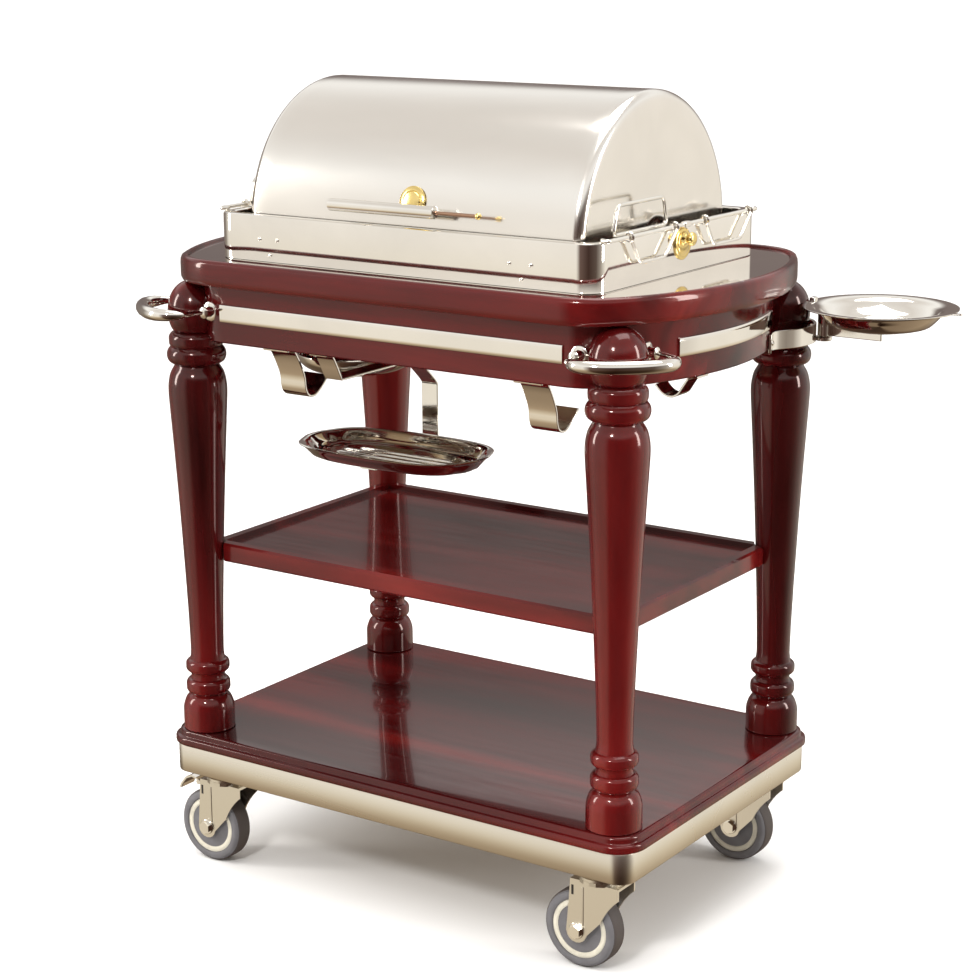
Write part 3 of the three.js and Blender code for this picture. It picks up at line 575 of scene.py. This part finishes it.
def screw(name, place, radius, axis, flip, made=STEEL, body="trolley"):
    """A domed screw head with a cross slot of painted shade."""
    dome = [(radius, 0), (radius, 0.5), (radius * 0.8, 1.4), (radius * 0.4, 1.9), (0, 2.0)]
    turned(name, dome, place, made, axis, 16, flip, body=body)
    slot = [(radius * 0.34, 1.7), (radius * 0.3, 2.3), (0, 2.3)]
    turned(name + "_slot", slot, place, RECESS_SHADE, axis, 4, flip, body=body)


def dress(node, made, width=0.0):
    """A CAD node that is kept: its facets smoothed, its edges softened, and a material."""
    obj = nodes[node]
    obj.data.materials.clear()
    obj.data.materials.append(made)
    obj.data.shade_smooth()
    obj.data.set_sharp_from_angle(angle=math.radians(32))
    if width:
        bevel(obj, width, 3)
    return obj


# ---- Casters ----
WHEEL_RADIUS = 56
CASTER_X, CASTER_Y = 328, 218
CASTER_TRAIL = 25
FORK_HALF = 22.5
PLATE_SCREW = 29  # from the plate's middle, both ways
PLATE_UNDERSIDE = 145.7
TYRE_PROFILE = [
    (42, -13.5), (42, -13.5), (43.4, -16.2), (45, -17), (49, -17), (51.6, -16.2), (53.6, -14),
    (54.6, -11.6), (55, -11), (55, 11), (54.6, 11.6), (53.6, 14), (51.6, 16.2), (49, 17), (45, 17),
    (43.4, 16.2), (42, 13.5), (42, 13.5),
]
TREAD_PROFILE = [
    (53, -12.6), (54.8, -12.4), (55.6, -11.2), (56, -8), (56, 8), (55.6, 11.2), (54.8, 12.4),
    (53, 12.6),
]
HUB_PROFILE = [
    (6, -16.6), (11, -16.6), (13, -13.4), (32.4, -13), (33, -12), (34, -12), (34.6, -14),
    (36, -14.8), (40.6, -14.8), (42.2, -14), (42.2, 14), (40.6, 14.8), (36, 14.8), (34.6, 14),
    (34, 12), (33, 12), (32.4, 13), (13, 13.4), (11, 16.6), (6, 16.6),
]


def make_fork_details(tag, axle, body):
    """The rib and slot pressed into each cheek of the fork, the slot a thin sheet of painted shade, and the
    bolt's washer.
    """
    x, y, z = axle
    for side in (-1, 1):
        face = y + side * FORK_HALF
        rib = [(x + 9, z + 2), (x + 11.4, z + 2), (x + 11.4, z + 66), (x + 9, z + 66)]
        rings = [[(rx, face + side * out, rz) for rx, rz in rib] for out in (-0.2, 0.9)]
        bevel(piece(f"fork_rib_{tag}_{side + 1}", *stacked(rings, False), SATIN, body=body), 0.5)
        # A thin near-black sheet on the cheek: painted shade in place of the slot's hollow.
        slot = [(x - 8, z + 52), (x - 4.5, z + 52), (x - 4.5, z + 66), (x - 8, z + 66)]
        rings = [[(sx, face + side * out, sz) for sx, sz in slot] for out in (-0.2, 0.25)]
        piece(f"fork_slot_{tag}_{side + 1}", *stacked(rings, False), RECESS_SHADE, body=body)
        washer = [(6, 0.1), (11.5, 0.1), (11.5, 1.0), (10.8, 1.5), (6, 1.5)]
        turned(f"axle_washer_{tag}_{side + 1}", washer, (x, face, z), STEEL, "y", 32, side, body=body)


def make_caster(tag, sx, sy):
    x, y = sx * CASTER_X, sy * CASTER_Y
    axle = (x - CASTER_TRAIL, y, WHEEL_RADIUS)
    wheel, fork = "wheel_" + tag, "caster_" + tag
    turned(wheel + "_tyre", TYRE_PROFILE, axle, TYRE, "y", 72, body=wheel, stands_for=[wheel])
    turned(wheel + "_tread", TREAD_PROFILE, axle, TREAD, "y", 72, body=wheel)
    turned(wheel + "_hub", HUB_PROFILE, axle, HUB, "y", 56, body=wheel)
    dress("caster_fork_" + tag, SATIN, 1.2)
    dress("axle_bolt_" + tag, STEEL, 0.6)
    dress("caster_plate_" + tag, SATIN, 0.6)
    make_fork_details(tag, axle, fork)
    race = [(24, 0), (30.5, 1.5), (30.5, 6), (26, 10), (20, 11)]
    turned(f"caster_race_{tag}", race, (x, y, 133), SATIN, segments=40, body=fork)
    for kx in (-1, 1):
        for ky in (-1, 1):
            place = (x + kx * PLATE_SCREW, y + ky * PLATE_SCREW, PLATE_UNDERSIDE)
            screw(f"plate_screw_{tag}_{kx + 1}{ky + 1}", place, 4, "z", -1)
    if sx < 0:
        dress("brake_lever_" + tag, STEEL, 1.0)


for corner, (corner_sx, corner_sy) in CORNERS.items():
    make_caster(corner, corner_sx, corner_sy)


# ---- Base and middle shelf ----
lofted("base_skirt_sheet", rounded_rect(*high("base_skirt").xy, 26),
       [(3, 149.4), (0.8, 149), (0, 150.5), (0, 190), (1, 192), (6, 192)], SATIN, stands_for=["base_skirt"])
base_x, base_y = high("base_board").xy
BASE_LEVELS = [
    (6, 192.3), (2.5, 192.6), (0.6, 194), (0, 196.5), (0, 201), (0.8, 203.6), (3.2, 204.8),
    (6.2, 205), (6.2, 205), (7, 206), (7, 210.5), (7.8, 212.8), (10, 214.1), (13, 214.3),
]
lofted("base_board_moulded", rounded_rect(base_x, base_y, 45, 16), BASE_LEVELS, WOOD_ALONG,
       stands_for=["base_board"], sharp=50)
dress("mid_shelf", WOOD_ALONG, 2.0)


# ---- Legs ----
LEG_PROFILE = [
    (0, 214.4), (36.5, 214.4), (36.5, 214.4), (38, 216.5), (38, 218), (38, 240), (37.6, 248),
    (35.5, 256), (32, 263), (27, 267.5), (26, 269), (26, 269), (29, 270), (32, 274), (32.5, 280),
    (32, 286), (29, 290), (26, 291), (26, 291), (25, 296), (25.5, 301), (25.5, 301), (29, 302.5),
    (31.8, 306), (32.3, 311), (31.8, 316), (29, 319.5), (26, 321), (26, 321), (24.6, 330),
    (24.5, 345), (26, 400), (29, 475), (33, 560), (37.4, 640), (41, 700), (42.2, 724), (41.6, 738),
    (38.5, 752), (33, 762), (31, 766), (31, 766), (36, 767), (40.5, 771), (42.5, 778), (41.5, 785),
    (38, 790), (36.5, 791), (36.5, 791), (38.4, 794), (39, 799), (38.6, 806), (35, 811),
    (30.5, 813), (30.5, 813), (34, 817), (37.6, 827), (39, 838), (38.2, 851), (34.6, 864),
    (28.5, 874), (20, 881.5), (10, 886), (0, 887.2),
]
for corner, (corner_sx, corner_sy) in CORNERS.items():
    turned(
        "turned_" + corner, smooth_through(LEG_PROFILE, 4),
        (corner_sx * LEG_X, corner_sy * LEG_Y, 0), WOOD_UPRIGHT, segments=64,
        stands_for=["leg_" + corner], sharp=40,
    )


# ---- Table top: apron, slab with its lip, metal deck and silver bands ----
lofted(
    "apron_bowed", table_outline,
    [(OVERHANG + 20, 804), (OVERHANG + 2, 804), (OVERHANG, 806), (OVERHANG, 887.6), (OVERHANG + 20, 887.6)],
    WOOD_ALONG, hoop=True, stands_for=["apron"],
)


SEAM = 44  # from the slab's edge to where its rim meets its core
RECESS_Z = DECK_TOP - 4
DECK_LOW = DECK_TOP - 2.8


def slab_rings():
    """From the well's lower edge outwards, up round the rim and down to the recess."""
    edge = [
        (OVERHANG, SLAB_BOTTOM), (7, SLAB_BOTTOM), (2.4, SLAB_BOTTOM + 1.6),
        (0.4, SLAB_BOTTOM + 5.5), (0, SLAB_BOTTOM + 11), (0, SLAB_TOP - 11), (0.5, SLAB_TOP - 6),
        (2.2, SLAB_TOP - 2.2), (5, SLAB_TOP - 0.4), (8, SLAB_TOP), (10.6, SLAB_TOP - 0.8),
        (11.8, SLAB_TOP - 2.4), (12, RECESS_Z), (SEAM, RECESS_Z), (SEAM, SLAB_BOTTOM),
    ]
    return [table_ring(inset, z) for inset, z in edge]


piece("slab_rim", *stacked(slab_rings(), True), WOOD_ALONG)


def well_ring(z, x=300, y=210):
    """The well's outline with as many points as the table outline, one for each by direction."""
    ring = []
    for px, py in table_outline(0):
        reach = min(x / max(abs(px), 1e-6), y / max(abs(py), 1e-6))
        ring.append((px * reach, py * reach, z))
    return ring


under = [
    table_ring(SEAM, SLAB_BOTTOM), table_ring(SEAM, RECESS_Z), well_ring(RECESS_Z),
    well_ring(SLAB_BOTTOM),
]
piece("slab_core", *stacked(under, True), WOOD_ALONG, stands_for=["top_slab"])
DECK_INSET = 12.3
deck = [
    table_ring(DECK_INSET, DECK_TOP), well_ring(DECK_TOP), well_ring(DECK_LOW),
    table_ring(DECK_INSET, DECK_LOW),
]
piece("deck_sheet", *stacked(deck, True), DECK_STEEL, stands_for=["deck_plate"])


def make_band(tag, points):
    """A silver strip with soft edges along a stretch of the apron's face."""
    rings = []
    for x, y in points:
        normal = Vector((0, math.copysign(1, y)))
        if tag in ("left", "right"):
            normal = Vector((x, y)).normalized()
        section = [
            (0.2, BAND_LOW), (2.2, BAND_LOW), (3.0, BAND_LOW + 1.2), (3.2, BAND_LOW + 5),
            (3.2, BAND_HIGH - 5), (3.0, BAND_HIGH - 1.2), (2.2, BAND_HIGH), (0.2, BAND_HIGH),
        ]
        rings.append([(x + normal.x * d, y + normal.y * d, z) for d, z in section])
    piece("band_" + tag, *stacked(rings, False), STEEL, stands_for=["trim_band_" + tag])


LONG_BAND, END_BAND = 284, 128  # half lengths
face_y = SLAB_Y - OVERHANG
for tag, sign in (("front", -1), ("back", 1)):
    make_band(tag, [(-LONG_BAND + 2 * LONG_BAND * i / 20, sign * face_y) for i in range(21)])
for tag, sign in (("left", -1), ("right", 1)):
    ys = [-END_BAND + 2 * END_BAND * i / 24 for i in range(25)]
    make_band(tag, [(sign * apron_x(y), y) for y in ys])


# ---- Corner push handles ----
OUTWARD = Vector((0.64, 0.77)).normalized()
ACROSS = Vector((0.77, -0.64)).normalized()
HANDLE_PATH = [
    (-55, -5), (-61, 12), (-68, 33), (-56, 59), (-24, 72), (24, 72), (56, 59), (68, 33), (64, 6),
    (53, -20),
]
HANDLE_RADII = [3.2, 3.2, 3.6, 5.5, 8.2, 9.1, 9.3, 9.3, 9.3, 9.1, 8.2, 5.5, 3.6, 3.2, 3.2]
for corner, (corner_sx, corner_sy) in CORNERS.items():
    if corner == "back_right":
        continue
    loop = []
    for across, outward in smooth_through(HANDLE_PATH, 7):
        spot = Vector((LEG_X, LEG_Y)) + ACROSS * across + OUTWARD * outward
        loop.append((corner_sx * spot.x, corner_sy * spot.y, HANDLE_Z))
    tube("push_handle_" + corner, loop, HANDLE_RADII, STEEL, stands_for=["corner_handle_" + corner])
    ferrule = [
        (0, -1), (13.5, -1), (13.5, 2.5), (12, 3.5), (8, 4), (7, 7), (6.5, 13), (8.2, 14),
        (8.2, 16), (4.4, 18.5), (0, 18.5),
    ]
    foot = loop[0]
    turned(
        "front_ferrule_" + corner, ferrule, (foot[0], corner_sy * apron_y(abs(foot[0])), HANDLE_Z),
        STEEL, "y", 28, corner_sy,
    )
    foot = loop[-1]
    turned(
        "end_ferrule_" + corner, ferrule, (corner_sx * apron_x(abs(foot[1])), foot[1], HANDLE_Z),
        STEEL, "x", 28, corner_sx,
    )


# ---- Chafing dish: box, pans, pivots ----
box_levels = [
    (3, DECK_TOP + 0.5), (0.4, DECK_TOP + 0.4), (0, DECK_TOP + 2), (0, BOX_TOP - 4),
    (0.8, BOX_TOP - 1), (3, BOX_TOP), (14, BOX_TOP), (16, BOX_TOP - 1.2), (15.4, BOX_TOP - 2.4),
    (3, BOX_TOP - 3),
]
lofted(
    "dish_box", rounded_rect(BOX_X, BOX_Y, BOX_RADIUS, 12), box_levels, STEEL, hoop=True,
    stands_for=["chafer_box"],
)
dress("water_pan", SATIN, 0.5)
dress("food_pan", STEEL, 0.5)
DISC = [
    (0, 0.2), (22, 0.2), (22, 1.2), (20.6, 2.6), (17, 3.4), (15.6, 3.0), (14.8, 3.6), (9, 4.2),
    (0, 4.2),
]
KNOB = [
    (0, 3.5), (8.6, 3.5), (8.8, 5), (6.2, 7.5), (5.6, 10), (6.6, 12), (8.8, 13.6), (9.2, 16),
    (8.2, 18.4), (5, 19.8), (0, 20),
]
for tag, sign in (("left", -1), ("right", 1)):
    turned(
        "pivot_disc_" + tag, DISC, (sign * BOX_X, 0, PIVOT_Z - 7), BRASS, "x", 48, sign,
        stands_for=["lid_pivot_" + tag],
    )
    turned("pivot_knob_" + tag, smooth_through(KNOB, 3), (sign * BOX_X, 0, PIVOT_Z), BRASS, "x", 32, sign)
    turned(
        "pivot_shaft_" + tag, [(0, -36), (5, -36), (5, 1), (0, 1)], (sign * BOX_X, 0, PIVOT_Z),
        SATIN, "x", 24, sign,
    )
SCREWS = [(-232, 952), (-201, 952), (-214, 930), (184, 952), (218, 952), (203, 932)]
for i, (screw_x, screw_z) in enumerate(SCREWS):
    for side in (-1, 1):
        screw(f"box_screw_{i}_{side + 1}", (screw_x, side * BOX_Y, screw_z), 3.0, "y", side)


# ---- Roll-top lid ----
def make_lid():
    """A half barrel with flat ends, open below, and a hem along each long side."""
    edge = 14
    corner = [(LID_X - edge + edge * math.sin(a), LID_RADIUS - edge + edge * math.cos(a))
              for a in (math.pi / 2 * k / 8 for k in range(9))]
    end = [(LID_X, LID_RADIUS * k / 6) for k in range(5, 0, -1)]
    half = [(0, LID_RADIUS), (LID_X - edge - 20, LID_RADIUS)] + corner + end + [(LID_X, 0.5)]
    profile = [(-x, r) for x, r in reversed(half)] + half[1:]
    angles = [math.pi * k / 72 for k in range(73)]
    rings = [[(x, -r, PIVOT_Z - 11) for x, r in profile]]
    rings += [[(x, -r * math.cos(a), PIVOT_Z + r * math.sin(a)) for x, r in profile] for a in angles]
    rings += [[(x, r, PIVOT_Z - 11) for x, r in profile]]
    count = len(profile)
    points = [p for ring in rings for p in ring]
    faces = [(i * count + j, i * count + j + 1, (i + 1) * count + j + 1, (i + 1) * count + j)
             for i in range(len(rings) - 1) for j in range(count - 1)]
    lid = piece("barrel_lid", points, faces, LID_STEEL, body="lid", stands_for=["roll_top_lid"], sharp=50)
    wall = lid.modifiers.new("wall", "SOLIDIFY")
    wall.thickness = 2.2 * MM
    wall.offset = -1
    for sign in (-1, 1):
        hem_y = sign * (LID_RADIUS + 0.2)
        hem = [(-LID_X + 12, hem_y, PIVOT_Z - 10), (LID_X - 12, hem_y, PIVOT_Z - 10)]
        tube(f"lid_hem_{sign + 1}", hem, [2.0], STEEL, body="lid")


make_lid()


def make_grip():
    """The bar along the lid's front, with a thin rod and a ball at its right end."""
    y, z, left, right, tip = -216, 1008, -112, 64, 132
    bar = [
        (0, left), (6.6, left), (8.3, left + 1.2), (8.5, left + 4), (8.5, right - 4),
        (8.2, right - 1), (6.4, right), (0, right),
    ]
    turned("grip_bar", bar, (0, y, z), STEEL, "x", 36, body="lid", stands_for=["lid_handle"])
    # A near-black disc of painted shade on the bar's left end.
    turned(
        "grip_end_shade", [(0, -0.6), (5.6, -0.6), (6.2, 0.6), (0, 0.6)], (left, y, z), RECESS_SHADE, "x", 24,
        body="lid",
    )
    rod = tip - right - 3
    turned("grip_rod", [(0, 0), (2.6, 0), (2.6, rod), (0, rod)], (right, y, z), COPPER, "x", 16, body="lid")
    ball = [(4.6 * math.sin(a), 4.6 * -math.cos(a)) for a in (math.pi * k / 10 for k in range(11))]
    turned("grip_ball", ball, (tip, y, z), BRASS, "x", 20, body="lid")
    for i, x in enumerate((-72, 44)):
        post = [(0, 0), (5.5, 0), (3.2, 3), (3.0, 20), (5.4, 24), (5.4, 26)]
        turned(f"grip_post_{i}", post, (x, y + 2, z), STEEL, "y", 20, body="lid")


make_grip()


def make_rosette():
    """A brass disc that lies against the barrel behind the grip."""
    middle_x, middle_z = 8, 1018
    tilt = math.atan2(middle_z - PIVOT_Z, LID_RADIUS)
    profile = [
        (0, 0.2), (21, 0.2), (21, 1.4), (19.4, 2.8), (15, 3.6), (13.8, 3.0), (12.6, 4.4), (7, 5.8),
        (0, 6.2),
    ]
    rings = []
    for radius, height in profile:
        ring = []
        for k in range(48):
            a = 2 * math.pi * k / 48
            reach, up = LID_RADIUS + 0.5 + height, max(radius, AXIS_RADIUS) * math.sin(a)
            y = -(reach * math.cos(tilt) - up * math.sin(tilt))
            z = reach * math.sin(tilt) + up * math.cos(tilt)
            ring.append((middle_x + max(radius, AXIS_RADIUS) * math.cos(a), y, PIVOT_Z + z))
        rings.append(ring)
    piece("brass_rosette", *stacked(rings, False), BRASS, body="lid", stands_for=["lid_rosette"])


make_rosette()


# ---- Rails, drop loops and upright loops at the ends of the dish ----
def rounded_wire(points, bend, closed):
    """The points with each corner turned into a short curve."""
    path = []
    count = len(points)
    for i, point in enumerate(points):
        point = Vector(point)
        if not closed and i in (0, count - 1):
            path.append(point)
            continue
        before, after = Vector(points[i - 1]), Vector(points[(i + 1) % count])
        start = point + (before - point).normalized() * bend
        end = point + (after - point).normalized() * bend
        for k in range(7):
            t = k / 6
            path.append(start * (1 - t) ** 2 + point * 2 * t * (1 - t) + end * t * t)
    return path


def make_end(tag, sign):
    """One end of the dish: its rail, the clip that holds it, two hanging loops and an upright one."""
    bends = [
        (sign * 308, -196, RAIL_Z + 0.6), (sign * RAIL_X, -200, RAIL_Z),
        (sign * RAIL_X, 200, RAIL_Z), (sign * 308, 196, RAIL_Z + 0.6),
    ]
    rail = rounded_wire(bends, 4, False)
    tube("rail_" + tag, rail, [2.9], STEEL, stands_for=["end_rail_" + tag])
    clip = [(sign * x, y) for x, y in ((316, -8), (316, 8), (323.4, 8), (323.4, -8))]
    prism("rail_clip_" + tag, clip, 983.4, 991.2, STEEL, 1.4, 3)
    for name, start, end in (("front", -146, -30), ("back", 52, 178)):
        x = sign * (RAIL_X + 2.5)
        body = f"drop_handle_{tag}_{name}"
        knee = RAIL_Z - 36
        bends = [(x, start, RAIL_Z - 3), (x, start + 22, knee), (x, end - 30, knee), (x, end, RAIL_Z - 3)]
        wire = rounded_wire(bends, 9, False)
        tube("wire_" + body, wire, [2.7], STEEL, body=body, stands_for=[body])
        for k, y in enumerate((start, end)):
            eye = arc(0, 0, 5.3, 0, 2 * math.pi, 20)[:-1]
            path = [(sign * RAIL_X + ex, y, RAIL_Z + ez) for ex, ez in eye]
            tube(f"eye_{body}_{k}", path, [2.0], STEEL, closed=True, sides=10, body=body)
    outline = [(-158, 988.1), (-146, 1026), (-28, 1026), (-20, 988.1)]
    bail = rounded_wire([(sign * BAIL_X, y, z) for y, z in outline], 10, True)
    tube(
        "wire_bail_" + tag, bail, [2.7], STEEL, closed=True, body="pan_bail_" + tag,
        stands_for=["pan_bail_" + tag],
    )


make_end("right", 1)
make_end("left", -1)


# ---- Hooks, rail, burner dish, strap and tray under the table ----
FOOT_Z = 802.2
END_HOOK_Y = -79
UNDER_RAIL_X = -120
STRAP_X = -113
HOOK = [
    (-243, FOOT_Z), (-228, FOOT_Z - 1), (-208, 766), (-204, 744), (-198, 734), (-186, 731),
    (-172, 738), (-152, 755),
]
END_HOOK = [(393, FOOT_Z), (381, FOOT_Z - 1), (371, 788), (363, 777), (352, 773), (340, 777), (330, 787)]
for tag, x in (("front_left", -192), ("front_right", 226)):
    strip(
        "hook_strip_" + tag, HOOK, 3, 44, lambda u, w, v, x=x: (x + w, u, v), STEEL,
        stands_for=["hook_" + tag],
    )
    screw("hook_screw_" + tag, (x, -236, FOOT_Z - 1.5), 3.4, "z", -1)
strip(
    "hook_strip_end", END_HOOK, 3, 30, lambda u, w, v: (u, w + END_HOOK_Y, v), STEEL,
    stands_for=["hook_right_end"],
)
UNDER_RAIL = [
    (-240, FOOT_Z), (-226, FOOT_Z - 1), (-205, 764), (-205, 764), (205, 764), (205, 764),
    (226, FOOT_Z - 1), (240, FOOT_Z),
]
strip(
    "under_rail", UNDER_RAIL, 3, 30, lambda u, w, v: (w + UNDER_RAIL_X, u, v), STEEL,
    stands_for=["burner_carrier"],
)
BURNER = [
    (0, 734), (46, 734.4), (62, 737), (76, 743.4), (85, 752), (88, 759), (89, 763.4), (88, 764),
    (86.6, 763), (85.6, 759), (82.6, 753), (75, 745.6), (61, 739.2), (46, 736.6), (0, 736.2),
]
turned("burner_bowl", smooth_through(BURNER, 3), (-222, -20, 0), STEEL, segments=72)
STRAP = [
    (-52, 760.7), (-34, 760.7), (-24, 757), (10, 727), (14, 718), (14, 718), (14, 634), (14, 634),
    (12, 625), (6, 623.2), (6, 623.2), (-140, 623.2),
]
strip(
    "tray_strap_bent", STRAP, 3, 28, lambda u, w, v: (w + STRAP_X, u, v), STEEL,
    stands_for=["tray_strap"],
)
screw("strap_screw", (STRAP_X, -42, 759.2), 3.2, "z", -1)

TRAY_X, TRAY_Y, TRAY_Z = -105, -84, 625
TRAY_HALF_X, TRAY_HALF_Y = 146, 86


def tray_outline(inset):
    """A long outline with blunt round ends, drawn out into a small tip at each end."""
    points = []
    for i in range(128):
        a = 2 * math.pi * i / 128
        c, s = math.cos(a), math.sin(a)
        tip = 7 * math.exp(-((s / 0.16) ** 2))
        x = math.copysign(abs(c) ** 0.62 * (TRAY_HALF_X - inset) + tip, c)
        y = math.copysign(abs(s) ** 0.62 * (TRAY_HALF_Y - inset), s)
        points.append((x + TRAY_X, y + TRAY_Y))
    return points


TRAY = [
    (30, 0.2), (24, 0.4), (17, 3.8), (9, 13.2), (4, 18.2), (0.6, 20), (0, 21.4), (0.8, 22.2),
    (5, 21.8), (10, 19.2), (17, 9.2), (20, 5.8), (23, 4.6), (26, 4.4), (28, 3.2), (31, 2.6),
    (50, 2.6), (60, 2.6),
]
lofted("tray_bowl", tray_outline, [(inset, TRAY_Z + rise) for inset, rise in TRAY], STEEL, body="tray",
       stands_for=["hanging_tray"], sharp=60)
for i, ridge_y in enumerate((-26, -9, 9, 26)):
    reach = 110 - abs(ridge_y)
    ridge = [(TRAY_X - reach, 2), (TRAY_X - reach + 8, 2.8), (TRAY_X + reach - 8, 2.8), (TRAY_X + reach, 2)]
    path = [(x, TRAY_Y + ridge_y, TRAY_Z + rise) for x, rise in ridge]
    tube(f"tray_ridge_{i}", path, [0.6, 2.4, 2.4, 0.6], STEEL, sides=12, body="tray")


# ---- Plate holder: bracket, arm and dish ----
BRACKET_Z = 813
ARM_X, ARM_Y = 405, 252
BRACKET = [
    (apron_x(118) + 2.6, 118), (apron_x(146) + 3, 146), (399, 184), (402, 222), (391, 250),
    (366, 272), (328, 262), (306, 251.6), (284, 251.6),
]
strip(
    "bracket_strap", BRACKET, 4, 26, lambda u, w, v: (u, v, BRACKET_Z + w), STEEL,
    stands_for=["plate_bracket"],
)
PIN = [
    (0, 800), (11, 800), (12, 801), (12, 805), (11, 806), (5.2, 806), (5.2, 843.5), (4, 846.6),
    (0, 847.8),
]
turned("bracket_lug", PIN, (ARM_X, ARM_Y, 0), STEEL, segments=32)
for i, (bx, by, axis, sign) in enumerate([(apron_x(128) + 4.4, 128, "x", 1), (294, 253.6, "y", 1)]):
    screw(f"bracket_screw_{i}", (bx, by, BRACKET_Z), 3.6, axis, sign)
BARREL = [(5.4, 806.4), (8.4, 806.4), (9, 807.2), (9, 841), (8.4, 841.9), (5.4, 841.9)]
turned(
    "arm_barrel", BARREL, (ARM_X, ARM_Y, 0), STEEL, segments=32, body="plate_arm",
    stands_for=["plate_arm"],
)
DISH_X, DISH_Y = 494, 245
blade = [(411, 250), (411, 254), (DISH_X, 254), (DISH_X, 250)]
prism("arm_blade", blade, 807, 826.4, STEEL, 1.0, body="plate_arm")
SEAT = [(0, 824.6), (40, 824.8), (45, 825.8), (46, 827.2), (45, 828.4), (0, 828.4)]
turned("arm_seat", SEAT, (DISH_X, DISH_Y, 0), STEEL, segments=48, body="plate_arm")
DISH = [
    (0, 828.8), (54, 828.8), (62, 829.6), (70, 832.4), (80, 842), (87, 850.8), (92, 853.6),
    (99, 855), (107, 855.6), (108, 856.4), (107.4, 857.4), (99, 857.2), (91, 855.8), (85, 852.6),
    (79, 844.4), (69.6, 834.8), (61, 831.8), (54, 831), (0, 831),
]
turned(
    "dish_bowl", smooth_through(DISH, 3), (DISH_X, DISH_Y, 0), STEEL, segments=96, body="dish",
    stands_for=["serving_dish"], sharp=60,
)
turned(
    "dish_ring", [(53, 831.2), (54.5, 832.4), (56, 831.6)], (DISH_X, DISH_Y, 0), STEEL, segments=64,
    body="dish",
)
TAB_HALF = 5.5
tab_end = arc(DISH_X + 115, DISH_Y, TAB_HALF, -math.pi / 2, math.pi / 2, 8)
tab_root = [(DISH_X + 105, DISH_Y + TAB_HALF), (DISH_X + 105, DISH_Y - TAB_HALF)]
prism("dish_tab", tab_end + tab_root, 855.6, 857.2, STEEL, 0.5, body="dish")
lug = [(DISH_X + x, DISH_Y + y) for x, y in ((-107, -6), (-107, 6), (-99, 6), (-99, -6))]
prism("dish_lug", lug, 856, 861.6, STEEL, 1.2, body="dish")
